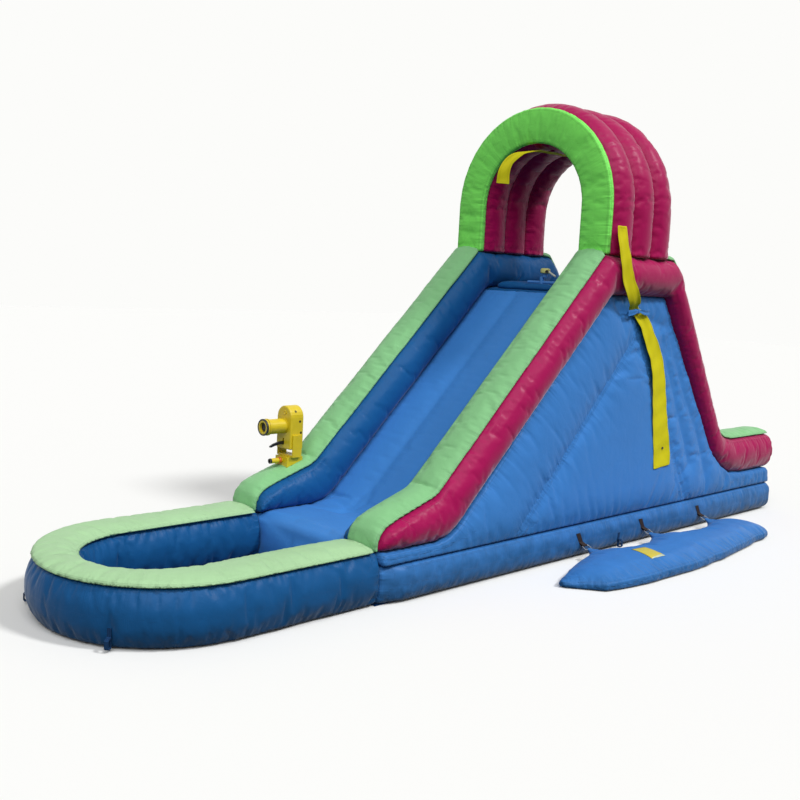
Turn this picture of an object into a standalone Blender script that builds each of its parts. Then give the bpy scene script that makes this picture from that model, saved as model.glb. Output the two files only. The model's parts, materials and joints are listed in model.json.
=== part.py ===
# Inflatable water slide: an oval pool, a slide lane between padded rails, a tunnel arch over the
# deck, a climbing wall behind it, a ballast bag tied to one side and a water cannon on one rail.
# Metres, Z up. X runs across the slide, Y runs from the pool (negative) to the climbing end.

import math

import bmesh
import bpy
from mathutils import Matrix, Vector

# Sizes that drive the model
GAP = 0.0003

# Rails: where the seams and faces lie across the slide, measured from its middle
BAND_INNER_X = 0.413
BAND_OUTER_X = 0.645
SEAM_X = 0.529
OUTER_FACE_X = 0.703
INNER_FACE_X = 0.360

# Rails in the side view: where they start, their run, and the height of the beam under the arch
JOINT_Y = -1.405
RAIL_LENGTH = 4.305
BEAM_Z = 1.925

# Seam line on the rail's top and crease along its foot, station by station, as shares of the
# rail's run and of the beam's height
RAIL_TOP_SHARES = (
    (0.00000, 0.17403), (0.00302, 0.19325), (0.01161, 0.21299), (0.02904, 0.23013),
    (0.05110, 0.24623), (0.09524, 0.27844), (0.10453, 0.29195), (0.11034, 0.30478),
    (0.11963, 0.32494), (0.14053, 0.37034), (0.32636, 0.77387), (0.43043, 1.00000),
    (0.51220, 1.00000), (0.61672, 1.00000), (0.63182, 0.96727), (0.65157, 0.89870),
    (0.79559, 0.39896), (0.81301, 0.35325), (0.83275, 0.32831), (0.86063, 0.31688),
    (0.89547, 0.31688), (1.00000, 0.31688),
)
RAIL_FOOT_SHARES = (
    (0.00000, 0.14805), (0.00465, 0.14805), (0.01394, 0.14805), (0.03252, 0.14805),
    (0.05691, 0.14805), (0.09756, 0.14805), (0.11731, 0.15688), (0.13240, 0.17662),
    (0.14518, 0.19969), (0.18095, 0.27735), (0.36678, 0.68088), (0.45389, 0.87013),
    (0.51220, 0.87013), (0.60627, 0.87013), (0.61278, 0.87013), (0.61835, 0.85091),
    (0.76237, 0.35117), (0.78746, 0.27013), (0.81882, 0.21818), (0.85134, 0.18442),
    (0.89547, 0.17403), (1.00000, 0.17403),
)
SLOPE_START = 8
CREST = 11
DECK_END = 13
CLIMB_START = 15
CLIMB_END = 16
PAD_START = 19
CANNON_STATION = 4

# Section of a roll: share of its width out from the seam, share of its depth up from its foot
ROLL_SHARES = (
    (0.00, 0.00), (0.00, 1.00), (0.50, 1.00), (0.76, 0.94), (0.94, 0.78), (1.00, 0.60),
    (1.00, 0.40), (0.94, 0.22), (0.76, 0.06), (0.50, 0.00),
)
NOSE_WIDTH_SHARES = (0.62, 0.80, 0.92, 0.98)

# Caps: the flat green band on the rails, with its rolled edges
CAP_THICKNESS = 0.035
CAP_SHARES = (
    (0.00, 0.00), (-0.017, 0.30), (0.08, 0.74), (0.34, 1.00), (0.66, 1.00), (0.92, 0.74),
    (1.017, 0.30), (1.00, 0.00),
)

# Skins under the rails
SKIN_HALF_WIDTH = 0.555
SKIN_THICKNESS = 0.070
LANE_KNEE_share = 0.1545
LANE_HEEL_share = 0.1266
LANE_NOSE = 0.055
LANE_NOSE_SHARES = ((0.00, 1.00), (0.10, 0.60), (0.32, 0.26), (0.62, 0.06))
CLIMB_KNEE_share = 0.3117
CLIMB_HEEL_share = 0.7956
MAT_HALF_WIDTH = 0.352
MAT_THICKNESS = 0.045
MAT_EDGE_share = 0.4
MAT_MARGIN = 0.020

# Sheets on the ground
GROUND_THICKNESS = 0.004
GROUND_INSET = 0.072
GROUND_MARGIN = 0.020
FLOOR_THICKNESS = 0.005

# Side panels and the tubes that they stand on
PANEL_INNER_X = 0.5553
PANEL_FOOT_X = 0.690
PANEL_HEAD_X = 0.6095
PANEL_FOOT_Z = 0.220
SEAM_RADIUS = 0.009
PANEL_SEAM_SHARES = ((0.2567, 0.1325), (0.5364, 0.7423), (0.6957, 0.1221))
BASE_FACE_X = 0.712
BASE_FRONT_X = 0.664
BASE_SHARES = (
    (0.00, 0.00), (0.00, 1.00), (0.60, 1.00), (0.86, 0.93), (1.00, 0.78), (1.00, 0.25),
    (0.86, 0.07), (0.60, 0.00),
)
BASE_TAPER = 0.160

# Inner webs
WEB_THICKNESS = 0.012
WEB_GAP = 0.00048
WEB_PLACE_SHARES = (0.2915, 0.5238, 0.7027)

# Pool
POOL_STRAIGHT = 0.865
POOL_OUTER_X = 0.656
POOL_OUTER_Y = 0.650
POOL_INNER_X = 0.375
POOL_INNER_Y = 0.430
POOL_WALL_TOP = 0.290
POOL_STEPS = 22
POOL_STRAIGHT_SHARES = (0.0, 0.34, 0.69)
WALL_SHARES = (
    (0.14, 0.00), (0.03, 0.14), (-0.02, 0.38), (-0.02, 0.64), (0.03, 0.87), (0.11, 1.00),
    (0.90, 1.00), (0.985, 0.88), (1.045, 0.66), (1.05, 0.30), (0.985, 0.09), (0.89, 0.00),
)
RIM_THICKNESS = 0.036
RIM_SHARES = (
    (0.03, 0.00), (0.00, 0.30), (0.09, 0.76), (0.34, 1.00), (0.66, 1.00), (0.92, 0.76),
    (1.01, 0.30), (0.98, 0.00),
)
RIM_SETBACK = 0.035
FLOOR_EDGE_share = 0.45

# Tunnel arch
ARCH_INNER = 0.413
ARCH_OUTER = 0.645
ARCH_LEG = 0.311
ARCH_STEPS = 20
ARCH_LEG_SHARES = (0.0, 0.5)
FACE_THICKNESS = 0.050
LOBE_DEPTH = 0.227
FACE_SHARES = (
    (0.03, 1.00), (0.97, 1.00), (1.02, 0.55), (0.97, 0.14), (0.80, 0.00), (0.20, 0.00),
    (0.03, 0.14), (-0.02, 0.55),
)
LOBE_SHARES = (
    (0.05, 0.00), (0.92, 0.00), (1.04, 0.08), (1.12, 0.24), (1.155, 0.50), (1.12, 0.76),
    (1.04, 0.92), (0.92, 1.00), (0.05, 1.00), (-0.04, 0.88), (-0.09, 0.66), (-0.10, 0.50),
    (-0.09, 0.34), (-0.04, 0.12),
)
LOBE_NAMES = ("front", "middle", "rear")

# Climbing steps and handles
STEP_HALF_WIDTH = 0.300
STEP_HEIGHT = 0.065
STEP_LENGTH = 0.125
STEP_SHARES = (
    (0.00, 0.00), (1.00, 0.00), (1.00, 0.35), (0.88, 0.75), (0.62, 1.00), (0.38, 1.00),
    (0.12, 0.75), (0.00, 0.35),
)
STEP_PLACE_SHARES = (0.14, 0.41, 0.68, 0.95)
HANDLE_PLACE_share = 0.275
HANDLE_X = 0.180
HANDLE_WIDTH = 0.030
HANDLE_LENGTH = 0.150
HANDLE_HEIGHT = 0.050
HANDLE_STRAP = 0.004
HANDLE_BEND = 0.028
HANDLE_TAIL = 0.030
HANDLE_THROAT_share = 1.3

# Ballast bag: its place and sizes, and its outline as shares of them: place along the slide, back
# edge, front edge and height
BAG_START_Y = -0.300
BAG_LENGTH = 2.310
BAG_BACK_OFFSET = 0.112
BAG_WIDTH = 0.500
BAG_HEIGHT = 0.108
BAG_STATION_SHARES = (
    (0.0000, 0.352, 0.432, 0.38), (0.0346, 0.302, 0.632, 0.60), (0.0649, 0.252, 0.822, 0.78),
    (0.1082, 0.182, 0.876, 0.90), (0.1515, 0.122, 0.912, 0.96), (0.2165, 0.042, 0.952, 0.99),
    (0.3290, 0.072, 0.968, 1.00), (0.4156, 0.122, 0.982, 0.99), (0.4978, 0.102, 0.976, 1.00),
    (0.6407, 0.082, 0.912, 1.00), (0.7359, 0.152, 0.852, 0.97), (0.8225, 0.102, 0.802, 0.98),
    (0.9437, 0.112, 0.722, 0.90), (0.9740, 0.232, 0.692, 0.72), (1.0000, 0.412, 0.612, 0.40),
)
BAG_TAB_SHARES = (0.2662, 0.5758, 0.9004)
BAG_TAB_WIDTH = 0.046
BAG_TAB_FLARE = 0.045
BAG_TAB_REACH = 0.042
BAG_EDGE_Z = 0.066
BAG_EDGE_THICKNESS = 0.012
BAG_EDGE_STEP = 0.002
BAG_EDGE_share = 0.45
BAG_GROUND = 0.001
BAG_UNDER_SHARES = ((0.03, 0.45), (0.10, 0.0), (0.96, 0.0))
BAG_OVER_SHARES = (
    (0.99, 0.10), (1.00, 0.30), (0.985, 0.54), (0.86, 0.78), (0.70, 0.93), (0.50, 1.00),
    (0.30, 0.98), (0.15, 0.88), (0.04, 0.74),
)
RING_BAR_INSET = 0.0085
RING_BAR_Z = 0.072
RING_SPAN = 0.0365
RING_STRAP_Z = 0.090
RING_HALF_LENGTH = 0.031
RING_WIRE = 0.0025
RING_CORNER = 0.006
HEM_RADIUS = 0.0090
HEM_BORE = 0.0031
STRAP_WIDTH = 0.040
STRAP_THICKNESS = 0.003
STRAP_TOP_Z = 0.168
STRAP_LEAVES_Z = 0.108
STRAP_SLANT = 0.58
STRAP_EYE = 0.0031
STRAP_WRAP = 0.0075
STRAP_WRAP_SHARES = (
    (-0.38, 0.92), (0.38, 0.92), (0.92, 0.38), (0.92, -0.38), (0.38, -0.92), (-0.38, -0.92),
)

# Anchor loops
ANCHOR_SIDE_share = 0.4962
ANCHOR_POOL_STEP = 6
WALL_FACE_POINT = 9
ANCHOR_WIDTH = 0.020
ANCHOR_TOP_Z = 0.108
ANCHOR_REACH = 0.034
ANCHOR_LOW_Z = 0.014
ANCHOR_HIGH_Z = 0.068
ANCHOR_STRAP = 0.004
ANCHOR_BEND_share = 0.75
ANCHOR_THROAT_share = 0.72
ANCHOR_FOLD_share = 1.6

# Hose sleeves: flat width, thickness and route
SLEEVE_THICKNESS = 0.034
SLEEVE_OUTER_ROUTE = (
    (0.702, 0.545, 2.150, 0.092), (0.718, 0.575, 2.040, 0.112), (0.7240, 0.640, 1.900, 0.122),
    (0.7240, 0.700, 1.760, 0.122), (0.722, 0.745, 1.690, 0.116), (0.662, 0.775, 1.635, 0.094),
    (0.6409, 0.797, 1.605, 0.086), (0.6409, 0.806, 1.575, 0.084), (0.6409, 0.816, 1.540, 0.092),
    (0.652, 0.880, 1.380, 0.120), (0.674, 0.985, 1.100, 0.134),
    (0.690, 1.085, 0.840, 0.142), (0.699, 1.165, 0.660, 0.146), (0.704, 1.185, 0.600, 0.138),
    (0.708, 1.230, 0.490, 0.158),
)
SLEEVE_INNER_ROUTE = (
    (0.0, 1.120, 0.0, 0.100), (0.0, 1.050, 0.0, 0.112), (0.0, 0.800, 0.0, 0.112),
    (0.0, 0.600, 0.0, 0.110), (-0.010, 0.480, 0.010, 0.110), (-0.045, 0.410, 0.040, 0.108),
    (-0.085, 0.368, 0.100, 0.104), (-0.105, 0.350, 0.170, 0.104), (-0.110, 0.348, 0.250, 0.100),
)
SLEEVE_SIDES = 12
KEEPER_Y = 0.806
KEEPER_Z = 1.575
KEEPER_HALF_LENGTH = 0.062
KEEPER_HEIGHT = 0.034
KEEPER_THICKNESS = 0.004
KEEPER_DEPTH = 0.046
KEEPER_HOLE_HALF_LENGTH = 0.055

# Lane sprinkler on the deck's front edge
SPRINKLER_SETBACK = 0.091
SPRINKLER_HALF_LENGTH = 0.120
SPRINKLER_RADIUS = 0.011
NOZZLE_RADIUS = 0.017
NOZZLE_HEIGHT = 0.052

# Air inlet tube on the hidden side
INLET_TUBE_share = 0.8606
INLET_TUBE_Z = 0.115
INLET_TUBE_RADIUS = 0.050
INLET_TUBE_WALL = 0.003
INLET_TUBE_LENGTH = 0.340

# Water cannon
CANNON_PLACE_share = 0.50
FOOT_HALF_LENGTH = 0.060
FOOT_HALF_WIDTH = 0.058
FOOT_RISE = 0.043
POST_RADIUS = 0.020
POST_HEIGHT = 0.011
YOKE_PLATE = 0.012
YOKE_HALF_LENGTH = 0.034
CHEEK_THICKNESS = 0.008
CHEEK_HEIGHT = 0.137
RUNNING_CLEARANCE = 0.0006
PIVOT_RISE = 0.115
TRUNNION_RADIUS = 0.008
SHELL_HALF_WIDTH = 0.070
SHELL_HALF_LENGTH = 0.050
SHELL_RISE = 0.047
SHELL_HEIGHT = 0.268
SHELL_BEVEL = 0.009
SHELL_CROWN_SHARES = (
    (1.00, 0.00), (0.966, 0.259), (0.866, 0.500), (0.707, 0.707), (0.500, 0.866), (0.259, 0.966),
    (0.00, 1.00),
)
BARREL_RISE = 0.190
BARREL_RADIUS = 0.046
BARREL_BORE = 0.031
BARREL_REACH = 0.210
BARREL_COLLAR = 0.004
BARREL_COLLAR_LENGTH = 0.022
TRIGGER_PIVOT_FORWARD = 0.028
TRIGGER_PIVOT_RISE = 0.087
TRIGGER_LENGTH = 0.135
TRIGGER_HALF_WIDTH = 0.006
TRIGGER_PIN_RADIUS = 0.004
TRIGGER_PIN_HALF_LENGTH = 0.016
TRIGGER_SLOT_CLEARANCE = 0.0015
TRIGGER_PROFILE_SHARES = (
    (0.0667, -0.0519), (0.0667, 0.0519), (-0.1481, 0.0741), (-0.4444, 0.0444),
    (-0.7259, -0.0296), (-0.9037, -0.1185), (-0.9333, -0.1778), (-0.8741, -0.1926),
    (-0.6667, -0.1333), (-0.3704, -0.0815), (-0.1481, -0.0667),
)
TRIGGER_SLOT_LOW = 0.014
TRIGGER_SLOT_HIGH = 0.026
TRIGGER_SLOT_DEPTH = 0.030
SPOUT_DROP = 0.023
SPOUT_LENGTH = 0.080
SPOUT_RADIUS = 0.0160
SPOUT_BORE = 0.0085
MOUTH_LENGTH = 0.010

# Counts round turned pieces
ROUND = 28
SMALL_ROUND = 16
EYE_ROUND = 12
EDGE_STEPS = 4

# Colours as linear red, green, blue
BLUE = (0.028, 0.125, 0.456)
DEEP_BLUE = (0.008, 0.056, 0.232)
GREEN = (0.150, 0.485, 0.115)
MAGENTA = (0.433, 0.009, 0.098)
YELLOW = (0.690, 0.520, 0.020)
BLACK = (0.012, 0.012, 0.013)
STEEL = (0.330, 0.270, 0.210)
PALE = (0.620, 0.640, 0.620)

# How rough each finish is
GLOSSY = 0.30
SHINY = 0.35
SATIN = 0.42
DULL = 0.60
MATT = 0.72

COLLECTION_NAME = "inflatable_water_slide"
CUTTER_COLLECTION_NAME = "cutters"
MERGE = 0.00005
SHARP_ANGLE = 0.61


def along_rail(share):
    """Returns the place along the slide at a share of the rail's run."""
    return JOINT_Y + RAIL_LENGTH * share


def rail_points(shares):
    """Returns points of the side view from shares of the rail's run and the beam's height."""
    return tuple((along_rail(run), BEAM_Z * rise) for run, rise in shares)


# What follows from the sizes above
RAIL_TOP = rail_points(RAIL_TOP_SHARES)
RAIL_FOOT = rail_points(RAIL_FOOT_SHARES)
PANEL_SEAM = rail_points(PANEL_SEAM_SHARES)
POOL_MIDDLE_Y = JOINT_Y - POOL_STRAIGHT
ARCH_CENTRE_Z = BEAM_Z + ARCH_LEG
BAG_BACK_X = BASE_FACE_X + BAG_BACK_OFFSET
BAG_EDGE_X = BAG_BACK_X - BAG_TAB_REACH
BAG_TABS = tuple(BAG_START_Y + BAG_LENGTH * share for share in BAG_TAB_SHARES)
RING_BAR_X = BAG_EDGE_X - RING_BAR_INSET
RING_STRAP_X = RING_BAR_X - RING_SPAN


def clear_scene():
    """Removes every object, mesh, curve and collection that the new file starts with."""
    for item in list(bpy.data.objects):
        bpy.data.objects.remove(item, do_unlink=True)
    for group in list(bpy.data.collections):
        bpy.data.collections.remove(group)


def make_collection(name):
    """Returns a new collection in the scene."""
    group = bpy.data.collections.new(name)
    bpy.context.scene.collection.children.link(group)
    return group


def make_material(name, colour, roughness):
    """Returns a plain material of one colour for one sub-part."""
    material = bpy.data.materials.new(name)
    material.use_nodes = True
    shader = material.node_tree.nodes["Principled BSDF"]
    shader.inputs["Base Color"].default_value = (*colour, 1.0)
    shader.inputs["Roughness"].default_value = roughness
    material.diffuse_color = (*colour, 1.0)
    return material


def put(name, mesh, colour, roughness=SATIN):
    """Places a mesh in the slide's collection under the name of its sub-part."""
    mesh.name = name
    mesh.materials.clear()
    mesh.materials.append(make_material(name + "_material", colour, roughness))
    mesh.shade_smooth()
    mesh.set_sharp_from_angle(angle=SHARP_ANGLE)
    item = bpy.data.objects.new(name, mesh)
    slide.objects.link(item)
    return item


def tidy_mesh(work, name):
    """Merges doubled corners, turns the faces outwards and returns the finished mesh."""
    bmesh.ops.remove_doubles(work, verts=work.verts, dist=MERGE)
    bmesh.ops.recalc_face_normals(work, faces=work.faces)
    mesh = bpy.data.meshes.new(name)
    work.to_mesh(mesh)
    work.free()
    return mesh


def loft_mesh(name, rings):
    """Joins rings of equal count with quads and closes both ends."""
    work = bmesh.new()
    rows = [[work.verts.new(point) for point in ring] for ring in rings]
    count = len(rows[0])
    for first, second in zip(rows, rows[1:]):
        for index in range(count):
            after = (index + 1) % count
            work.faces.new((first[index], first[after], second[after], second[index]))
    work.faces.new(rows[0])
    work.faces.new(rows[-1])
    return tidy_mesh(work, name)


def axes_for(plane):
    """Returns the turn that lays a flat outline in the named plane."""
    turns = {
        "YZ": Matrix(((0, 0, 1), (1, 0, 0), (0, 1, 0))),
        "XZ": Matrix(((1, 0, 0), (0, 0, -1), (0, 1, 0))),
        "XY": Matrix.Identity(3),
    }
    return turns[plane].to_4x4()


def plate_mesh(name, outlines, plane, low, high):
    """Fills flat outlines, the first one solid and the others holes, and extrudes them."""
    curve = bpy.data.curves.new(name, "CURVE")
    curve.dimensions = "2D"
    curve.fill_mode = "BOTH"
    curve.extrude = abs(high - low) / 2
    for outline in outlines:
        spline = curve.splines.new("POLY")
        spline.points.add(len(outline) - 1)
        for point, place in zip(spline.points, outline):
            point.co = (place[0], place[1], 0, 1)
        spline.use_cyclic_u = True
    carrier = bpy.data.objects.new(name, curve)
    slide.objects.link(carrier)
    mesh = bpy.data.meshes.new_from_object(carrier)
    bpy.data.objects.remove(carrier)
    bpy.data.curves.remove(curve)
    middle = (low + high) / 2
    shift = {"YZ": (middle, 0, 0), "XZ": (0, middle, 0), "XY": (0, 0, middle)}[plane]
    mesh.transform(Matrix.Translation(shift) @ axes_for(plane))
    work = bmesh.new()
    work.from_mesh(mesh)
    bpy.data.meshes.remove(mesh)
    return tidy_mesh(work, name)


def wire_mesh(name, points, radius, closed):
    """Sweeps a round wire along points and fills its ends."""
    curve = bpy.data.curves.new(name, "CURVE")
    curve.dimensions = "3D"
    curve.bevel_depth = radius
    curve.bevel_resolution = 2
    curve.use_fill_caps = not closed
    spline = curve.splines.new("POLY")
    spline.points.add(len(points) - 1)
    for point, place in zip(spline.points, points):
        point.co = (*place, 1)
    spline.use_cyclic_u = closed
    carrier = bpy.data.objects.new(name, curve)
    slide.objects.link(carrier)
    mesh = bpy.data.meshes.new_from_object(carrier)
    bpy.data.objects.remove(carrier)
    bpy.data.curves.remove(curve)
    work = bmesh.new()
    work.from_mesh(mesh)
    bpy.data.meshes.remove(mesh)
    return tidy_mesh(work, name)


def drum_mesh(name, radius, start, end, count=ROUND):
    """Turns a plain drum between two points."""
    start, end = Vector(start), Vector(end)
    span = end - start
    work = bmesh.new()
    bmesh.ops.create_cone(
        work, cap_ends=True, segments=count, radius1=radius, radius2=radius, depth=span.length
    )
    turn = span.to_track_quat("Z", "Y").to_matrix().to_4x4()
    bmesh.ops.transform(work, matrix=Matrix.Translation((start + end) / 2) @ turn, verts=work.verts)
    return tidy_mesh(work, name)


def box_mesh(name, low, high):
    """Makes a box between two corners."""
    low, high = Vector(low), Vector(high)
    work = bmesh.new()
    bmesh.ops.create_cube(work, size=1)
    size = high - low
    bmesh.ops.scale(work, vec=size, verts=work.verts)
    bmesh.ops.translate(work, vec=(low + high) / 2, verts=work.verts)
    return tidy_mesh(work, name)


def set_origin(item, place):
    """Puts a moving sub-part's origin on its joint's axis, its shape kept in place."""
    item.data.transform(Matrix.Translation(-Vector(place)))
    item.location = place


def cutter(name, mesh):
    """Keeps a mesh as a hidden tool for a boolean."""
    mesh.shade_smooth()
    mesh.set_sharp_from_angle(angle=SHARP_ANGLE)
    item = bpy.data.objects.new(name, mesh)
    tools.objects.link(item)
    item.hide_render = True
    item.display_type = "WIRE"
    return item


def combine(item, tool, operation):
    """Adds or removes a tool's shape on a sub-part."""
    step = item.modifiers.new(operation.lower() + "_" + tool.name, "BOOLEAN")
    step.operation = operation
    step.solver = "EXACT"
    step.object = tool


def bevel(item, width, segments):
    """Rounds the sharp edges of a sub-part."""
    step = item.modifiers.new("rounded_edges", "BEVEL")
    step.width = width
    step.segments = segments
    step.limit_method = "ANGLE"


def circle(centre, radius, count):
    """Returns a flat ring of points."""
    return [
        (
            centre[0] + radius * math.cos(2 * math.pi * step / count),
            centre[1] + radius * math.sin(2 * math.pi * step / count),
        )
        for step in range(count)
    ]


def lowered(index):
    """Returns the crease under the rail at a station, a gap below the rolls."""
    top = Vector(RAIL_TOP[index])
    foot = Vector(RAIL_FOOT[index])
    return tuple(foot + (foot - top).normalized() * GAP)


def outward(points, index):
    """Returns the mitred direction away from a line of points in the side view."""
    here = Vector(points[index])
    sides = []
    if index > 0:
        sides.append((here - Vector(points[index - 1])).normalized())
    if index < len(points) - 1:
        sides.append((Vector(points[index + 1]) - here).normalized())
    normals = [Vector((-side.y, side.x)) for side in sides]
    total = sum(normals, Vector((0, 0))).normalized()
    return total / max(total.dot(normals[0]), 0.5)


def both_sides():
    """Yields the name and the sign of the right side and of the left side."""
    yield "right", 1
    yield "left", -1


def make_bolsters():
    """Makes the outer and inner rolls of both rails."""
    for side, sign in both_sides():
        for kind, face, colour in (("outer", OUTER_FACE_X, MAGENTA), ("inner", INNER_FACE_X, BLUE)):
            seam = SEAM_X + math.copysign(GAP / 2, face - SEAM_X)
            rings = []
            for index, (top, foot) in enumerate(zip(RAIL_TOP, RAIL_FOOT)):
                width_share = 1.0
                if kind == "outer" and index < len(NOSE_WIDTH_SHARES):
                    width_share = NOSE_WIDTH_SHARES[index]
                ring = []
                for across, up in ROLL_SHARES:
                    x = seam + (face - seam) * across * width_share
                    place = Vector(foot).lerp(Vector(top), up)
                    ring.append((sign * x, place.x, place.y))
                rings.append(ring)
            put(kind + "_bolster_" + side, loft_mesh("roll", rings), colour, SATIN)


def cap_rings(points, directions, sign):
    """Returns the sections of a green band that lies on a line of points."""
    rings = []
    for point, away in zip(points, directions):
        low = Vector(point) + away * GAP
        high = Vector(point) + away * CAP_THICKNESS
        ring = []
        for across, up in CAP_SHARES:
            x = BAND_INNER_X + (BAND_OUTER_X - BAND_INNER_X) * across
            place = low.lerp(high, up)
            ring.append((sign * x, place.x, place.y))
        rings.append(ring)
    return rings


def make_caps():
    """Makes the green bands in front of and behind the arch."""
    front_line = [(RAIL_TOP[0][0], POOL_WALL_TOP + 2 * GAP)] + list(RAIL_TOP[: CREST + 1])
    front_away = [outward(front_line, index) for index in range(len(front_line))]
    slope = (Vector(front_line[-1]) - Vector(front_line[-2])).normalized()
    rise = math.hypot(slope.x, slope.y) / slope.x
    front_away[0] = Vector((-1, 0))
    front_away[-1] = Vector((0, rise))
    front_line[-1] = tuple(Vector(front_line[-1]) - slope * 2 * GAP)
    rear_line = list(RAIL_TOP[DECK_END:])
    rear_line.insert(0, (arch_rear() + GAP, RAIL_TOP[DECK_END][1]))
    rear_away = [outward(rear_line, index) for index in range(len(rear_line))]
    for side, sign in both_sides():
        put("front_cap_" + side, loft_mesh("cap", cap_rings(front_line, front_away, sign)), GREEN)
        put("rear_cap_" + side, loft_mesh("cap", cap_rings(rear_line, rear_away, sign)), GREEN)


def arch_rear():
    """Returns where the last lobe of the arch ends."""
    return RAIL_TOP[CREST][0] + FACE_THICKNESS + len(LOBE_NAMES) * LOBE_DEPTH


def arch_rings(section):
    """Carries a section of radius and place along the slide round the arch."""
    foot = RAIL_TOP[CREST][1] + GAP
    rings = []
    for share in ARCH_LEG_SHARES:
        height = foot + (ARCH_CENTRE_Z - foot) * share
        rings.append([(radius, place, height) for radius, place in section])
    for step in range(ARCH_STEPS + 1):
        angle = math.pi * step / ARCH_STEPS
        rings.append([
            (radius * math.cos(angle), place, ARCH_CENTRE_Z + radius * math.sin(angle))
            for radius, place in section
        ])
    for share in reversed(ARCH_LEG_SHARES):
        height = foot + (ARCH_CENTRE_Z - foot) * share
        rings.append([(-radius, place, height) for radius, place in section])
    return rings


def make_arch():
    """Makes the green face and the three lobes of the tunnel."""
    band = ARCH_OUTER - ARCH_INNER
    front = RAIL_TOP[CREST][0]
    depth = FACE_THICKNESS - GAP
    section = [(ARCH_INNER + band * out, front + depth * back) for out, back in FACE_SHARES]
    put("arch_face", loft_mesh("face", arch_rings(section)), GREEN, SATIN)
    for index, name in enumerate(LOBE_NAMES):
        start = front + FACE_THICKNESS + index * LOBE_DEPTH
        depth = LOBE_DEPTH - GAP
        section = [(ARCH_INNER + band * out, start + depth * back) for out, back in LOBE_SHARES]
        put("arch_lobe_" + name, loft_mesh("lobe", arch_rings(section)), MAGENTA, GLOSSY)


def lane_under():
    """Returns the underside of the lane from its knee to the crest."""
    low, high = RAIL_FOOT[SLOPE_START], RAIL_FOOT[CREST]
    drop = SKIN_THICKNESS * math.dist(low, high) / (high[0] - low[0])
    place = along_rail(LANE_KNEE_share)
    return (place, line_height(place, low, high) - drop), (high[0], high[1] - drop)


def climb_under():
    """Returns the underside of the climbing wall from the deck to its knee."""
    high, low = RAIL_FOOT[CLIMB_START], RAIL_FOOT[CLIMB_END]
    inset = SKIN_THICKNESS * math.dist(low, high) / (high[1] - low[1])
    start_y = RAIL_FOOT[DECK_END][0] + GAP
    start_z = line_height(start_y + inset, high, low)
    knee_z = BEAM_Z * CLIMB_KNEE_share
    return (start_y, start_z), (line_place(knee_z, high, low) - inset, knee_z)


def line_height(place, first, second):
    """Returns the height at a place on the line through two points."""
    share = (place - first[0]) / (second[0] - first[0])
    return first[1] + (second[1] - first[1]) * share


def line_place(height, first, second):
    """Returns the place at a height on the line through two points."""
    share = (height - first[1]) / (second[1] - first[1])
    return first[0] + (second[0] - first[0]) * share


def make_skins():
    """Makes the lane, the deck, the climbing wall and the landing between the rails."""
    ground = GROUND_THICKNESS + GAP
    lane_top = [lowered(index) for index in range(CREST + 1)]
    nose_y, nose_z = lane_top[0]
    lane_top[:2] = [
        (nose_y + LANE_NOSE * back, nose_z - LANE_NOSE * drop) for back, drop in LANE_NOSE_SHARES
    ]
    lane_top[-1] = (RAIL_FOOT[CREST][0], lane_top[-1][1])
    knee, crest = lane_under()
    lane = lane_top + [crest, knee, (along_rail(LANE_HEEL_share), ground), (nose_y, ground)]
    half = SKIN_HALF_WIDTH
    put("slide_lane", plate_mesh("lane", [lane], "YZ", -half, half), BLUE, SHINY)

    deck_top = RAIL_FOOT[CREST][1] - GAP
    deck_low = RAIL_FOOT[CREST][1] - SKIN_THICKNESS
    deck_start = RAIL_FOOT[CREST][0] + GAP
    deck_end = RAIL_FOOT[DECK_END][0]
    deck = box_mesh("deck", (-half, deck_start, deck_low), (half, deck_end, deck_top))
    put("deck", deck, BLUE, SATIN)
    mat = box_mesh(
        "mat",
        (-MAT_HALF_WIDTH, deck_start + MAT_MARGIN, deck_top + GAP),
        (MAT_HALF_WIDTH, deck_end - MAT_MARGIN, deck_top + GAP + MAT_THICKNESS),
    )
    bevel(put("deck_mat", mat, BLUE), MAT_THICKNESS * MAT_EDGE_share, EDGE_STEPS)

    climb_top = [lowered(index) for index in range(DECK_END, PAD_START + 1)]
    climb_top[0] = (deck_end + GAP, climb_top[0][1])
    start, knee = climb_under()
    climb_end = climb_top[-1][0]
    climb = climb_top + [(climb_end, ground), (along_rail(CLIMB_HEEL_share), ground), knee, start]
    put("climb_wall", plate_mesh("climb", [climb], "YZ", -half, half), BLUE, SATIN)

    pad_top = [lowered(index) for index in range(PAD_START, len(RAIL_FOOT))]
    pad_top[0] = (climb_end + GAP, pad_top[0][1] - GAP)
    pad = pad_top + [(pad_top[-1][0], ground), (climb_end + GAP, ground)]
    put("landing_pad", plate_mesh("pad", [pad], "YZ", -half, half), BLUE, SATIN)


def panel_face(height):
    """Returns how far out a side panel's face is at a height, as it leans in to its head."""
    share = (height - PANEL_FOOT_Z) / (RAIL_FOOT[CREST][1] - PANEL_FOOT_Z)
    return PANEL_FOOT_X + (PANEL_HEAD_X - PANEL_FOOT_X) * share


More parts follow.
